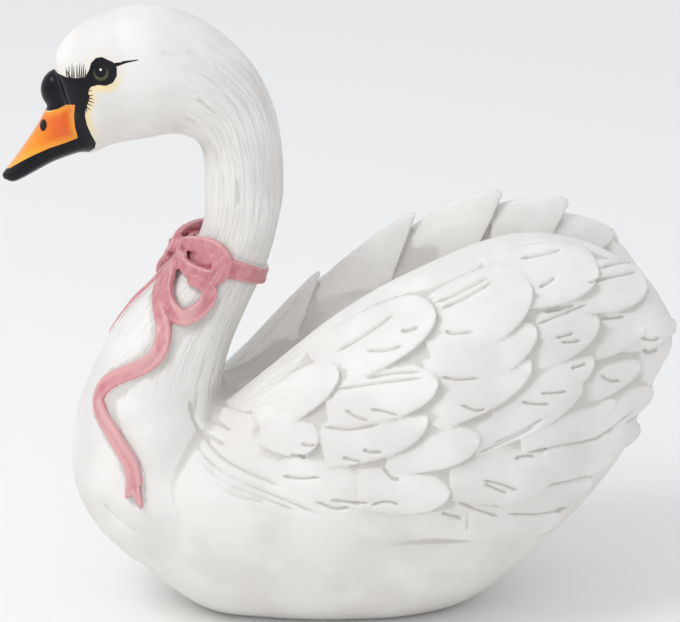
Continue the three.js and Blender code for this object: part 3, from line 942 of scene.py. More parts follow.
HEAD_STROKES = [
    [(-118, 362), (-110, 360), (-102, 359)],
    [(-101, 364), (-92, 358), (-84, 350)],
    [(-95, 333), (-88, 328), (-81, 321)],
    [(-84, 358), (-78, 350), (-73, 341)],
]


# %% How deep a stroke is at a point
def seen(points):
    """Where drawn points lie in the tilted plane, with both sides folded onto the near one."""
    return points[:, 0], points[:, 2] * COS_TILT - np.abs(points[:, 1]) * SIN_TILT


def normals_of(piece):
    """The way the skin faces at each point."""
    flat = np.empty(len(piece.data.vertices) * 3)
    piece.data.vertex_normals.foreach_get("vector", flat)
    return flat.reshape(-1, 3)


def distance_to_line(x, up, line):
    """How far points are from a line of short pieces, and where along it the nearest is."""
    nearest, place = np.full(x.shape, 1e9), np.zeros(x.shape)
    for n, (start, end) in enumerate(zip(line[:-1], line[1:])):
        run = end - start
        share = ((x - start[0]) * run[0] + (up - start[1]) * run[1]) / (run @ run)
        share = np.clip(share, 0, 1)
        away = np.hypot(x - start[0] - share * run[0], up - start[1] - share * run[1])
        closer = away < nearest
        nearest[closer], place[closer] = away[closer], (n + share[closer]) / (len(line) - 1)
    return nearest, place


STROKE_PIECES = 9
STROKE_REACH = 3
FADE = 2.2


def stroke_depths(x, up, strokes, width, depth):
    """How deep the strokes cut at each point: a rounded groove that fades out at both ends."""
    cut = np.zeros(x.shape)
    for stroke in strokes:
        line = fair_curve([(n, *point) for n, point in enumerate(stroke)])
        line = line(np.linspace(0, len(stroke) - 1, STROKE_PIECES))
        reach = STROKE_REACH * width
        low, high = line.min(0) - reach, line.max(0) + reach
        near = (x > low[0]) & (x < high[0]) & (up > low[1]) & (up < high[1])
        near = np.nonzero(near)[0]
        away, place = distance_to_line(x[near], up[near], line)
        taper = np.clip(np.sin(np.pi * place) * FADE, 0, 1)
        groove = depth * taper * np.exp(-((away / (width * (0.5 + 0.5 * taper))) ** 2))
        cut[near] = np.maximum(cut[near], groove)
    return cut


RIDGE_FADE = 4


def past_ridge(points):
    """One on the wing's outer side, zero in the valley between the wings."""
    ridge_y = wing_at(np.clip(points[:, 0], WING[0][0], WING[-1][0]))[:, 0]
    return np.clip((np.abs(points[:, 1]) - ridge_y + RIDGE_FADE) / RIDGE_FADE, 0, 1)


# %% [markdown]
# A groove narrower than the skin's squares has no points to move. The squares that the wing's
# strokes touch are picked by their corners and split once, before anything is cut.


# %% Split squares under fine strokes
def refine(piece, chosen):
    """Split the squares that touch the chosen points, so that a fine mark has points to move."""
    mesh = piece.data
    corners = np.empty(len(mesh.loops), int)
    mesh.loops.foreach_get("vertex_index", corners)
    first = np.empty(len(mesh.polygons), int)
    mesh.polygons.foreach_get("loop_start", first)
    touched = np.maximum.reduceat(chosen[corners].astype(int), first) > 0
    bpy.ops.object.mode_set(mode="EDIT")
    bpy.ops.mesh.select_mode(type="FACE")
    bpy.ops.mesh.select_all(action="DESELECT")
    bpy.ops.object.mode_set(mode="OBJECT")
    mesh.polygons.foreach_set("select", touched)
    bpy.ops.object.mode_set(mode="EDIT")
    bpy.ops.mesh.subdivide(number_cuts=1)
    bpy.ops.object.mode_set(mode="OBJECT")
    print("squares split:", int(touched.sum()))


# %% Cut the strokes
# Half width and depth of each tool, in millimetres.
WING_TOOL, BREAST_TOOL, HEAD_TOOL = (1.1, 2.0), (1.5, 1.4), (1.6, 0.8)
REFINE_TOOL, REFINE_FROM = (1.5, 1), 0.03
BREAST_TOP, HEAD_BOTTOM = 215, 300
EDGE_ON = 4


def cut_strokes(piece):
    """Depth of the strokes on the skin that faces the picture, or its mirror on the far side."""
    points, normals = drawn(points_of(piece)), normals_of(piece)
    x, up = seen(points)
    side = np.sign(points[:, 1])
    facing = normals[:, 1] * side * COS_TILT + normals[:, 2] * SIN_TILT
    faced = np.clip(facing * EDGE_ON, 0, 1)
    wing = stroke_depths(x, up, WING_STROKES, *WING_TOOL) * past_ridge(points)
    breast = stroke_depths(x, up, BREAST_STROKES, *BREAST_TOOL) * (points[:, 2] < BREAST_TOP)
    head = stroke_depths(x, up, HEAD_STROKES, *HEAD_TOOL) * (points[:, 2] > HEAD_BOTTOM)
    return np.maximum(np.maximum(wing, breast), head) * faced


# %% [markdown]
# The nape's streaks are too many to draw one by one. Random lines of a seeded generator run
# along the neck, and each point of the skin looks up the nearest one.


# %% Streaks along the neck
STREAK_SEED = 7
STREAKS = {"count": 150, "depth": 0.9, "half_width": 1.2, "reach": 4, "samples": 50}
# Where streaks start and how long they are, in stations, and how far they wander, in degrees.
STREAK_START, STREAK_LENGTH, STREAK_WANDER = (3.6, 12.2), (0.5, 1.6), 6
# Down to the ribbon the throat stays plain; below it the streaks go nearly all round.
NAPE_SPREAD, BREAST_SPREAD, BREAST_STATION = 130, 175, 9
STREAKED_X, STREAKED_ABOVE = (-160, -30), 120


def neck_streaks(piece):
    """Depth of fine lengthwise streaks on the nape and down into the breast."""
    draw = np.random.default_rng(STREAK_SEED)
    run = np.linspace(-0.5, 0.5, STREAKS["samples"])
    fade = np.sin(np.linspace(0.1, np.pi - 0.1, STREAKS["samples"]))
    samples, strengths = [], []
    for _ in range(STREAKS["count"]):
        start = draw.uniform(*STREAK_START)
        length = draw.uniform(*STREAK_LENGTH)
        spread = NAPE_SPREAD if start < BREAST_STATION else BREAST_SPREAD
        angle = math.radians(180 + draw.uniform(-spread, spread))
        station = np.linspace(start, start + length, STREAKS["samples"])
        wander = math.radians(draw.uniform(-STREAK_WANDER, STREAK_WANDER)) * run
        samples.append(on_neck(station, angle + wander))
        strengths.append(draw.uniform(0.3, 1) * fade)
    samples, strengths = np.vstack(samples), np.concatenate(strengths)
    tree = KDTree(len(samples))
    for number, point in enumerate(samples):
        tree.insert(point, number)
    tree.balance()
    points = drawn(points_of(piece))
    cut = np.zeros(len(points))
    near = (points[:, 0] > STREAKED_X[0]) & (points[:, 0] < STREAKED_X[1])
    near &= points[:, 2] > STREAKED_ABOVE
    for index in np.nonzero(near)[0]:
        _, number, away = tree.find(points[index])
        if away < STREAKS["reach"]:
            cut[index] = strengths[number] * math.exp(-((away / STREAKS["half_width"]) ** 2))
    return cut * STREAKS["depth"]


# %% Move the points in
OFF_RIBBON = -1
before = drawn(points_of(casting))
under_tool = stroke_depths(*seen(before), WING_STROKES, *REFINE_TOOL) * past_ridge(before)
refine(casting, under_tool > REFINE_FROM)
streaks = neck_streaks(casting)
marks = np.maximum(cut_strokes(casting), streaks) * (ribbon_distance(casting) < OFF_RIBBON)
set_points(casting, points_of(casting) - normals_of(casting) * marks[:, None] * MM)
print("points cut by the tool:", int((marks > 0.1).sum()))

# %% [markdown]
# ## Fewer triangles where the skin is plain
# The fused skin has the same fine squares everywhere. Decimate merges those that lie flat,
# and goes easier on the head and the bow, because the painted edges need their points.

# %% Thin the plain skin
MOST_TRIANGLES = 194000
KEEP_SHARE = 0.35
HEAD_ENDS, BOW_ENDS = -128, -40
BOW_BOTTOM, HEAD_STARTS = 225, 290


def thin(piece):
    """Bring the piece down to MOST_TRIANGLES, mostly where it is plain."""
    bpy.ops.object.select_all(action="DESELECT")
    piece.select_set(True)
    bpy.context.view_layer.objects.active = piece
    modifier = piece.modifiers.new("triangles", "TRIANGULATE")
    bpy.ops.object.modifier_apply(modifier=modifier.name)
    points = drawn(points_of(piece))
    x, z = points[:, 0], points[:, 2]
    head = (x < HEAD_ENDS) & (z > HEAD_STARTS)
    bow = (x < BOW_ENDS) & (z > BOW_BOTTOM) & (z < HEAD_STARTS)
    group = piece.vertex_groups.new(name="keep")
    group.add(np.nonzero(head | bow)[0].tolist(), 1.0, "REPLACE")
    decimate = piece.modifiers.new("plain", "DECIMATE")
    decimate.ratio = MOST_TRIANGLES / len(piece.data.polygons)
    decimate.vertex_group = group.name
    decimate.invert_vertex_group = True
    decimate.vertex_group_factor = KEEP_SHARE
    bpy.ops.object.modifier_apply(modifier=decimate.name)
    piece.vertex_groups.clear()
    print("triangles:", len(piece.data.polygons))


thin(casting)
bpy.ops.object.shade_smooth()

# %% [markdown]
# ## Where the paint goes
# Each area of paint is an outline in the picture's plane. Its signed distance, in
# millimetres, is stored on the points: the shader then finds the edge between them, and the
# edge stays sharp and smooth.

# %% Painted outlines
MASK = [
    (-188, 356.7),
    (-183.8, 351.2),
    (-178.5, 348.3),
    (-172, 347.2),
    (-166.1, 347.6),
    (-163.4, 351.9),
    (-162.1, 356.4),
    (-158.8, 359.6),
    (-154.9, 360.1),
    (-151.1, 358.1),
    (-147.9, 356.7),
    (-145.4, 352.8),
    (-145.5, 347.7),
    (-148.1, 343.3),
    (-152.7, 341.5),
    (-157.8, 342.2),
    (-162.4, 341.1),
    (-164.4, 338),
    (-163.2, 334.8),
    (-164.5, 331),
    (-165.9, 328),
    (-166.7, 323),
    (-165.6, 317.3),
    (-163.2, 311.6),
    (-160.2, 306.1),
    (-161, 303.1),
    (-171, 297),
    (-182.6, 291),
    (-193.9, 286),
    (-203.9, 281),
    (-211.9, 277),
    (-219, 276),
    (-229, 280),
    (-229, 290.5),
    (-217.1, 291.4),
    (-208.9, 295.5),
    (-200.8, 299.1),
    (-190.2, 303.3),
    (-180.3, 306.3),
    (-171.8, 309.4),
    (-173.6, 316.5),
    (-174, 323.3),
    (-173.1, 330.2),
    (-179.2, 331),
    (-184.5, 328.6),
    (-189.9, 327.6),
    (-200, 330),
    (-207, 341),
    (-204, 353),
    (-196, 362),
]
ORANGE = [
    (-210, 332),
    (-190, 327),
    (-173, 333),
    (-171, 316),
    (-169, 306),
    (-200, 296),
    (-229, 286),
    (-232, 300),
]


def signed_distance(x, up, outline):
    """Millimetres inside an outline; negative outside."""
    line = np.array([*outline, outline[0]], float)
    away, _ = distance_to_line(x, up, line)
    inside = np.zeros(x.shape, bool)
    for (ax, ay), (bx, by) in zip(line[:-1], line[1:]):
        if ay == by:
            continue
        crossed = ((ay > up) != (by > up)) & (x < (bx - ax) * (up - ay) / (by - ay) + ax)
        inside ^= crossed
    return np.where(inside, away, -away)


# %% [markdown]
# Paint runs into hollows and wears off edges, and the colours that read this also carry
# painted shade in the hollows and a painted highlight on the raised edges. A copy of the skin
# is averaged a few times, and a point that lies under the copy is in a hollow, as one that
# lies over it is on an edge.


# %% Which points lie in a hollow
HOLLOW_ROUNDS = 12


def hollows(piece, rounds):
    """How far each point lies under a smoothed copy of the skin, in millimetres."""
    edges = np.empty(len(piece.data.edges) * 2, int)
    piece.data.edges.foreach_get("vertices", edges)
    edges = edges.reshape(-1, 2)
    points = points_of(piece)
    count = np.bincount(edges.ravel(), minlength=len(points))[:, None]
    smooth = points.copy()
    for _ in range(rounds):
        total = np.zeros_like(smooth)
        for axis in range(3):
            total[:, axis] += np.bincount(edges[:, 0], smooth[edges[:, 1], axis], len(points))
            total[:, axis] += np.bincount(edges[:, 1], smooth[edges[:, 0], axis], len(points))
        smooth = total / count
    return ((smooth - points) * normals_of(piece)).sum(1) / MM


def keep_on_points(piece, name, values):
    """Store one value a point on the mesh, where a material can read it by name."""
    attribute = piece.data.attributes.new(name, "FLOAT", "POINT")
    attribute.data.foreach_set("value", np.ascontiguousarray(values, np.float32))
    print(name, "from", round(float(values.min()), 2), "to", round(float(values.max()), 2))


# %% [markdown]
# The brushed streaks follow the neck as it bends. Each point gets two lengths, round the neck
# and along it, so that a pattern can be stretched along the second.


# %% Places round and along the neck
NECK_STATIONS = np.linspace(3, 13, 400)
# The streaks come in over the first stations, go out over the last, and fade at the throat.
STREAKS_IN, STREAKS_OUT, STATION_FADE = 3.6, 12.4, 1.2
THROAT_FROM, THROAT_FADE = 95, 35
NECK_RADIUS = 30
NECK_ENDS = -30
BATCHES = 40


def neck_places(points):
    """Millimetres round and along the neck, and how much of the streaking a point takes."""
    nape_x, nape_z, throat_x, throat_z, _ = np.moveaxis(neck_at(NECK_STATIONS), -1, 0)
    middle = np.stack([nape_x + throat_x, nape_z + throat_z], -1) / 2
    outward = np.stack([nape_x - throat_x, nape_z - throat_z], -1)
    outward /= np.linalg.norm(outward, axis=-1, keepdims=True)
    run = np.concatenate([[0], np.cumsum(np.linalg.norm(np.diff(middle, axis=0), axis=-1))])
    side_on = points[:, [0, 2]]
    nearest = []
    for part in np.array_split(side_on, BATCHES):
        nearest.append(np.linalg.norm(part[:, None] - middle[None], axis=-1).argmin(1))
    nearest = np.concatenate(nearest)
    offset = side_on - middle[nearest]
    napewards = (offset * outward[nearest]).sum(1)
    ahead = np.stack([outward[:, 1], -outward[:, 0]], -1)
    along = run[nearest] + (offset * ahead[nearest]).sum(1)
    round_by = np.arctan2(np.abs(points[:, 1]), napewards) * NECK_RADIUS
    station = NECK_STATIONS[nearest]
    taken = np.clip((station - STREAKS_IN) / STATION_FADE, 0, 1)
    taken *= np.clip((STREAKS_OUT - station) / STATION_FADE, 0, 1)
    taken *= np.clip((THROAT_FROM - round_by) / THROAT_FADE, 0, 1) * (points[:, 0] < NECK_ENDS)
    return round_by, along, taken


# %% Store the places for the paint
FACE_ENDS = -120
NOT_FACE = -20
final = drawn(points_of(casting))
x, up = seen(final)
face = (final[:, 2] > HEAD_STARTS) & (final[:, 0] < FACE_ENDS)
for name, values in zip(("round_neck", "along_neck", "streaked"), neck_places(final)):
    keep_on_points(casting, name, values)
for name, outline in (("black_edge", MASK), ("orange_edge", ORANGE)):
    keep_on_points(casting, name, np.where(face, signed_distance(x, up, outline), NOT_FACE))
keep_on_points(casting, "ribbon_edge", ribbon_distance(casting))
keep_on_points(casting, "hollow", hollows(casting, HOLLOW_ROUNDS))

# %% [markdown]
# ## Painted ceramic
# The real body is fired clay or a mineral-filled resin, cast and left matt, with the colours
# brushed on by hand and the mask, bill and eye varnished. One material carries them all,
# because on the real piece they are one skin of paint. Its colours are laid on in the
# painter's order: white, ribbon, blush, bill, black, eye.


# %% One function for every node
def srgb(code):
    """Linear colour of an sRGB hex code."""
    parts = [int(code[n : n + 2], 16) / 255 for n in (1, 3, 5)]
    return (*[c / 12.92 if c <= 0.04045 else ((c + 0.055) / 1.055) ** 2.4 for c in parts], 1)


def add_node(tree, kind, inputs=(), output=0, **settings):
    """Add a node with its settings, fill or link its inputs, and give back one output.

    Inputs are in the node's own order, or a dictionary by name or number. With output None
    the node itself comes back.
    """
    node = tree.nodes.new("ShaderNode" + kind)
    for name, value in settings.items():
        setattr(node, name, value)
    for name, value in (inputs if isinstance(inputs, dict) else dict(enumerate(inputs))).items():
        if isinstance(value, bpy.types.NodeSocket):
            tree.links.new(value, node.inputs[name])
        else:
            node.inputs[name].default_value = value
    return node if output is None else node.outputs[output]


def new_material(name):
    """An empty material, ready for nodes."""
    material = bpy.data.materials.new(name)
    material.use_nodes = True
    material.node_tree.nodes.clear()
    return material


# Settings that come back often. A Map Range node takes a value and the two ends that become
# 0 and 1. A colour mix has its share at input 0, its colours at 6 and 7, its result at 2.
STEP = {"interpolation_type": "SMOOTHSTEP"}
COLOURS = {"data_type": "RGBA", "output": 2}
TIMES = {"operation": "MULTIPLY"}
LARGER = {"operation": "MAXIMUM"}

ceramic = new_material("hand_painted_matt_ceramic")
paint = ceramic.node_tree

# %% [markdown]
# ### White body
# Matt white paint, brushed on thinly: it scatters light evenly and shows no highlight. Two
# close whites drift into each other over about 40 mm, and the grooves are darkened towards a
# grey-beige as painted shade. The hollow attribute tells grooves from edges.

# %% White, and painted shade in its grooves
WHITE, WARMER_WHITE, GROOVE_SHADE = srgb("#E8E6E2"), srgb("#DFDCD8"), srgb("#A9A49A")
CLOUD_MM = 40
GROOVE_SHADE_SHARE = 0.42

place = add_node(paint, "TexCoord", output="Object")
hollow = add_node(paint, "Attribute", output="Fac", attribute_name="hollow")
cloud_inputs = {"Vector": place, "Scale": 1 / (CLOUD_MM * MM), "Detail": 3}
cloud = add_node(paint, "TexNoise", cloud_inputs, output="Fac")
drift = add_node(paint, "MapRange", (cloud, 0.35, 0.65), **STEP)
white = add_node(paint, "Mix", {0: drift, 6: WHITE, 7: WARMER_WHITE}, **COLOURS)
# Painted shade: the grooves are darkened towards a grey-beige, where less light reaches them.
groove = add_node(paint, "MapRange", (hollow, 0.05, 0.6), **STEP)
painted_groove_shade = add_node(paint, "Math", (groove, GROOVE_SHADE_SHARE), **TIMES)
white = add_node(paint, "Mix", {0: painted_groove_shade, 6: white, 7: GROOVE_SHADE}, **COLOURS)
print("white body:", len(paint.nodes), "nodes")

# %% [markdown]
# ### Ribbon paint
# An old rose acrylic, with a satin gloss. The painter's brush leaves streaks about 6 mm
# across. The colour is darker in the folds, partly pooled paint and partly painted shade,
# and lighter on the raised edges, partly paint worn thin and partly a painted highlight.
# Near the skin it thins to a pale rim, over the white.

# %% Rose on the ribbon, with painted shade in folds and painted highlight on edges
ROSE, LIGHT_ROSE, POOLED_ROSE_AND_SHADE = srgb("#C47A81"), srgb("#CF9095"), srgb("#A4505A")
THIN_ROSE_AND_HIGHLIGHT, PALE_RIM = srgb("#D9A3A4"), srgb("#E6CBC9")
BRUSH_MM = 6

brush_inputs = {"Vector": place, "Scale": 1 / (BRUSH_MM * MM), "Detail": 3}
brushing = add_node(paint, "TexNoise", brush_inputs, output="Fac")
brushing = add_node(paint, "MapRange", (brushing, 0.35, 0.7), **STEP)
rose = add_node(paint, "Mix", {0: brushing, 6: ROSE, 7: LIGHT_ROSE}, **COLOURS)
ribbon_edge = add_node(paint, "Attribute", output="Fac", attribute_name="ribbon_edge")
# Darker rose in the folds: partly pooled paint, partly painted shade. Lighter rose on the raised
# edges: partly worn paint, partly a painted highlight.
for value, begins, full, next_colour in (
    (hollow, 0.15, 0.7, POOLED_ROSE_AND_SHADE),
    (hollow, -0.4, -1.2, THIN_ROSE_AND_HIGHLIGHT),
    (ribbon_edge, 1.8, 1.2, PALE_RIM),
):
    share = add_node(paint, "MapRange", (value, begins, full), **STEP)
    rose = add_node(paint, "Mix", {0: share, 6: rose, 7: next_colour}, **COLOURS)
on_ribbon = add_node(paint, "MapRange", (ribbon_edge, 0.75, 1.1), **STEP)
colour = add_node(paint, "Mix", {0: on_ribbon, 6: white, 7: rose}, **COLOURS)
print("with ribbon:", len(paint.nodes), "nodes")

# %% [markdown]
# ### Places on the face
# The face is painted on a curved head, yet its outlines are known in the picture's plane. So
# Object coordinates are turned into millimetres along and up that plane, the same on both
# sides of the head. Everything small on the face is then a distance in it.


# %% The tilted plane
parts = add_node(paint, "SeparateXYZ", (place,), output=None).outputs
along = add_node(paint, "Math", (parts["X"], MM), operation="DIVIDE")
along = add_node(paint, "Math", (along, SHIFT_X), operation="SUBTRACT")
lifted = add_node(paint, "Math", (parts["Z"], COS_TILT / MM), **TIMES)
sideways = add_node(paint, "Math", (parts["Y"],), operation="ABSOLUTE")
inward = add_node(paint, "Math", (sideways, SIN_TILT / MM), **TIMES)
height = add_node(paint, "Math", (lifted, inward), operation="SUBTRACT")
plane = add_node(paint, "CombineXYZ", (along, height))


def away_from(spot, stretch=(1, 1, 1)):
    """Distance in the plane from a spot, shorter along an axis that is stretched below 1."""
    offset = add_node(paint, "VectorMath", (plane, (*spot, 0)), operation="SUBTRACT")
    offset = add_node(paint, "VectorMath", (offset, stretch), operation="MULTIPLY")
    return add_node(paint, "VectorMath", (offset,), output="Value", operation="LENGTH")


# %% [markdown]
# ### Blush and bill
# A thin yellow is rubbed in behind the mask and fades over 7 mm. The bill's enamel is blended
# wet from orange-red at the root to salmon at the tip, with a yellow line along its lower
# edge. The bill is varnished with the mask.

# %% Yellow blush
BLUSH = srgb("#EFD483")

black_edge = add_node(paint, "Attribute", output="Fac", attribute_name="black_edge")
near_mask = add_node(paint, "MapRange", (black_edge, -7, -0.5), **STEP)
above_chin = add_node(paint, "MapRange", (height, 302, 322), **STEP)
below_eye = add_node(paint, "MapRange", (height, 352, 338, 0.1, 0.7), **STEP)
blush = add_node(paint, "Math", (near_mask, above_chin), **TIMES)
blush = add_node(paint, "Math", (blush, below_eye), **TIMES)
colour = add_node(paint, "Mix", {0: blush, 6: colour, 7: BLUSH}, **COLOURS)

# %% Orange bill
BILL_TIP_X, BILL_ROOT_X = -223, -174
BILL_COLOURS = [
    (0.0, "#E2AE96"),
    (0.13, "#E99F52"),
    (0.38, "#F09615"),
    (0.72, "#E0640F"),
    (1.0, "#D2500A"),
]
EDGE_YELLOW = srgb("#F6B52E")

up_bill = add_node(paint, "MapRange", (along, BILL_TIP_X, BILL_ROOT_X))
blended = add_node(paint, "ValToRGB", (up_bill,), output=None)
bands = blended.color_ramp.elements
for position, _ in BILL_COLOURS[1:-1]:
    bands.new(position)
for band, (position, code) in zip(bands, BILL_COLOURS):
    band.position, band.color = position, srgb(code)
low_edge = add_node(paint, "MapRange", (black_edge, -6, -0.5, 0, 0.5), **STEP)
bill = {0: low_edge, 6: blended.outputs["Color"], 7: EDGE_YELLOW}
bill = add_node(paint, "Mix", bill, **COLOURS)
orange_edge = add_node(paint, "Attribute", output="Fac", attribute_name="orange_edge")
on_bill = add_node(paint, "MapRange", (orange_edge, -0.2, 0.2), **STEP)
colour = add_node(paint, "Mix", {0: on_bill, 6: colour, 7: bill}, **COLOURS)
print("with bill:", len(paint.nodes), "nodes")

# %% [markdown]
# ### Black
# A blue-black enamel covers the mask and the lower mandible, dots the nostril and is drawn
# out in hairs with the tip of a fine brush, about 1 mm wide where each begins.

# %% Brushed hairs, in the tilted plane
NOSTRIL_SEEN = (-194.4, 318.5)
# Start along and up, end along and up, half width at the start.
BRUSHED = [
    (-147.5, 354.5, -139.5, 356.2, 1.5),
    (-141.5, 356.2, -131.8, 357.6, 0.9),
    (-177.9, 348.9, -178.4, 354.1, 0.5),
    (-176.6, 348.2, -176.4, 355.2, 0.5),
    (-174.6, 348, -174.4, 356.4, 0.5),
    (-173.3, 348, -173.2, 354.4, 0.5),
    (-171.3, 347.8, -171.2, 355.6, 0.5),
    (-170, 347.8, -169.2, 356.8, 0.5),
    (-168.7, 347.7, -167.9, 354.7, 0.5),
    (-167.4, 347.6, -166.6, 356, 0.5),
    (-175.9, 348.1, -177.8, 352.1, 0.5),
    (-166.1, 348.2, -165.4, 352.7, 0.5),
    (-165, 338, -161.8, 339.1, 0.5),
    (-164.4, 335.4, -161.2, 335.9, 0.5),
    (-165.1, 332.9, -160.7, 330.9, 0.5),
    (-165.8, 331.1, -162, 329.1, 0.5),
    (-165.9, 329.2, -163.4, 326.6, 0.5),
    (-164.5, 334.2, -161.2, 333.4, 0.5),
    (-165.9, 328, -165.4, 325.4, 0.5),
]
HAIR_END = 0.35


def brushed_cover():
    """One where a hair lies; each thins out towards its end."""
    cover = 0.0
    for ax, ay, bx, by, half in BRUSHED:
        run = (bx - ax, by - ay, 0)
        length2 = run[0] ** 2 + run[1] ** 2
        offset = add_node(paint, "VectorMath", (plane, (ax, ay, 0)), operation="SUBTRACT")
        pace = (offset, tuple(c / length2 for c in run))
        share = add_node(paint, "VectorMath", pace, output="Value", operation="DOT_PRODUCT")
        share = add_node(paint, "Clamp", (share,))
        foot = add_node(paint, "VectorMath", {0: run, "Scale": share}, operation="SCALE")
        away = add_node(
            paint, "VectorMath", (offset, foot), output="Value", operation="DISTANCE"
        )
        half_here = add_node(paint, "MapRange", (share, 0, 1, half, half * HAIR_END))
        inside = add_node(paint, "Math", (half_here, away), operation="SUBTRACT")
        inside = add_node(paint, "MapRange", (inside, -0.2, 0.2), **STEP)
        cover = add_node(paint, "Math", (cover, inside), **LARGER)
    return cover


# %% Mask, nostril and hairs
BLACK = srgb("#0B0B14")
NOSTRIL_STRETCH = (0.42, 0.25, 1)

mask = add_node(paint, "MapRange", (black_edge, -0.2, 0.2), **STEP)
nostril = away_from(NOSTRIL_SEEN, NOSTRIL_STRETCH)
nostril = add_node(paint, "MapRange", (nostril, 1.1, 0.9), **STEP)
on_head = add_node(paint, "MapRange", (height, 300, 302), **STEP)
hairs = add_node(paint, "Math", (brushed_cover(), on_head), **TIMES)
black = add_node(paint, "Math", (mask, nostril), **LARGER)
black = add_node(paint, "Math", (black, hairs), **LARGER)
colour = add_node(paint, "Mix", {0: black, 6: colour, 7: BLACK}, **COLOURS)
print("with black:", len(paint.nodes), "nodes")

# %% [markdown]
# ### Eye
# Three dots one over another: an olive iris about 9 mm across and a black pupil that leaves a
# crescent of it below, both of enamel, and a white glint, which is a painted highlight.

# %% Iris, pupil and glint
IRIS_SEEN, PUPIL_SEEN, GLINT_SEEN = (-155.7, 349.6), (-155.9, 350.8), (-155.9, 351.9)
IRIS_OLIVE, PUPIL_BLACK, GLINT_WHITE = srgb("#4B4D38"), srgb("#07070B"), srgb("#F4F4F0")

dots = []
for spot, outer, inner, dot_colour in (
    (IRIS_SEEN, 4.9, 4.5, IRIS_OLIVE),
    (PUPIL_SEEN, 4.0, 3.6, PUPIL_BLACK),
    # The white glint is a painted highlight.
    (GLINT_SEEN, 0.9, 0.6, GLINT_WHITE),
):
    dots.append(add_node(paint, "MapRange", (away_from(spot), outer, inner), **STEP))
    colour = add_node(paint, "Mix", {0: dots[-1], 6: colour, 7: dot_colour}, **COLOURS)
iris = dots[0]

# %% [markdown]
# ### Fine streaks on the neck
# A stiff brush has combed the wet white along the neck, in lines about 2 mm apart: finer than
# the cut streaks, so they are drawn in the shader, as a small bump and a painted shade that
# darkens each line. Noise stretched along the neck gives lines that start and stop as brushed
# ones do.

# %% Combed lines, with painted shade
COMBED_LINE_SHADOW = srgb("#B5B1AA")
COMBED_SHADOW_SHARE, COMBED_DEPTH_MM = 0.16, 0.8
ACROSS_LINES, ALONG_LINES = 0.75, 0.02

around = add_node(paint, "Attribute", output="Fac", attribute_name="round_neck")
lengthwise = add_node(paint, "Attribute", output="Fac", attribute_name="along_neck")
streaked = add_node(paint, "Attribute", output="Fac", attribute_name="streaked")
around = add_node(paint, "Math", (around, ACROSS_LINES), **TIMES)
lengthwise = add_node(paint, "Math", (lengthwise, ALONG_LINES), **TIMES)
stretched = add_node(paint, "CombineXYZ", (around, lengthwise))
line_inputs = {"Vector": stretched, "Scale": 1.0, "Detail": 2.0, "Roughness": 0.55}
lines = add_node(paint, "TexNoise", line_inputs, output="Fac")
lines = add_node(paint, "MapRange", (lines, 0.52, 0.66), **STEP)
lines = add_node(paint, "Math", (lines, streaked), **TIMES)
off_ribbon = add_node(paint, "MapRange", (on_ribbon, 1, 0), **STEP)
# Painted shade: each combed line is darkened in the colour, for the shadow in its groove.
painted_line_shadow = add_node(paint, "Math", (lines, COMBED_SHADOW_SHARE), **TIMES)
painted_line_shadow = add_node(paint, "Math", (painted_line_shadow, off_ribbon), **TIMES)
colour = add_node(paint, "Mix", {0: painted_line_shadow, 6: colour, 7: COMBED_LINE_SHADOW}, **COLOURS)

# %% [markdown]
# ### Gloss and grain
# The matt white is rough, the ribbon's acrylic is satin, and varnish over the bill, mask and
# eye is smooth. The black reflects a little less than the rest, as a soft enamel does. A grain
# of 1.2 mm stands for the cast body's pores, drawn coarser than the real ones so it shows.

# %% Roughness, bump and the finished shader
MATT, SATIN, VARNISHED = 0.62, 0.3, 0.2
CERAMIC_IOR, BLACK_IOR = 1.5, 1.32
GRAIN_MM, GRAIN_DEPTH_MM = 1.2, 0.12
BUMP_STRENGTH = 0.5

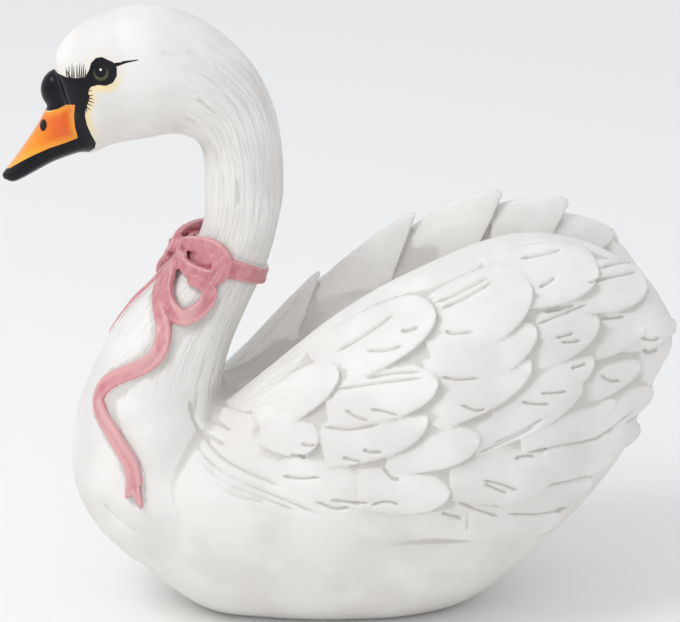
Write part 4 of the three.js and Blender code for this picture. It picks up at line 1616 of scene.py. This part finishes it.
varnish = add_node(paint, "Math", (black, on_bill), **LARGER)
varnish = add_node(paint, "Math", (varnish, iris), **LARGER)
rough = add_node(paint, "MapRange", (on_ribbon, 0, 1, MATT, SATIN))
rough = add_node(paint, "MapRange", (varnish, 0, 1, rough, VARNISHED))
ior = add_node(paint, "MapRange", (black, 0, 1, CERAMIC_IOR, BLACK_IOR))
combed = {"Height": lines, "Distance": COMBED_DEPTH_MM * MM, "Strength": BUMP_STRENGTH}
combed = add_node(paint, "Bump", combed, invert=True)
grain = {"Vector": place, "Scale": 1 / (GRAIN_MM * MM), "Detail": 4, "Roughness": 0.6}
grain = {"Height": add_node(paint, "TexNoise", grain, output="Fac"), "Normal": combed}
grain |= {"Distance": GRAIN_DEPTH_MM * MM, "Strength": BUMP_STRENGTH}
grain = add_node(paint, "Bump", grain)
skin = {"Base Color": colour, "Roughness": rough, "Normal": grain, "IOR": ior}
skin = add_node(paint, "BsdfPrincipled", skin)
add_node(paint, "OutputMaterial", {"Surface": skin}, output=None)
print("painted ceramic:", len(paint.nodes), "nodes")

# %% Paint the casting, and put it in the model
casting.data.materials.clear()
casting.data.materials.append(ceramic)
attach(casting, "root")
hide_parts("swan")

# %% [markdown]
# ## Floor and light
# A plain pale floor of matt card, a large soft light from the upper left, a weaker one from
# low in front and a pale sky that fills the shadows.

# %% Floor
FLOOR_SIZE = 12
CARD_ROUGHNESS = 0.9

bpy.ops.object.select_all(action="DESELECT")
bpy.ops.mesh.primitive_plane_add(size=FLOOR_SIZE)
floor = bpy.context.object
floor.name = "floor"
card = new_material("pale_matt_card")
surface = {"Base Color": srgb("#F2F1EF"), "Roughness": CARD_ROUGHNESS}
surface = add_node(card.node_tree, "BsdfPrincipled", surface)
add_node(card.node_tree, "OutputMaterial", {"Surface": surface}, output=None)
floor.data.materials.append(card)
print("floor:", FLOOR_SIZE, "m square")


# %% Lights and sky
LIT_POINT = Vector((0, 0, 0.2))
SKY, SKY_STRENGTH = srgb("#F4F6FA"), 0.88


def add_light(name, place, size, power):
    """A square light of a size in metres and a power in watts, aimed at the figure."""
    bpy.ops.object.light_add(type="AREA", location=place)
    light = bpy.context.object
    light.name = name
    light.data.size = size
    light.data.energy = power
    aim = LIT_POINT - light.location
    light.rotation_euler = aim.to_track_quat("-Z", "Y").to_euler()


bpy.context.scene.view_settings.view_transform = "Standard"
add_light("key_light", (-1.5, -0.9, 2.2), 1.2, 25)
add_light("fill_light", (-0.6, -2.4, 0.9), 1.6, 3)
world = bpy.data.worlds.new("studio")
bpy.context.scene.world = world
world.use_nodes = True
world.node_tree.nodes["Background"].inputs["Color"].default_value = SKY
world.node_tree.nodes["Background"].inputs["Strength"].default_value = SKY_STRENGTH
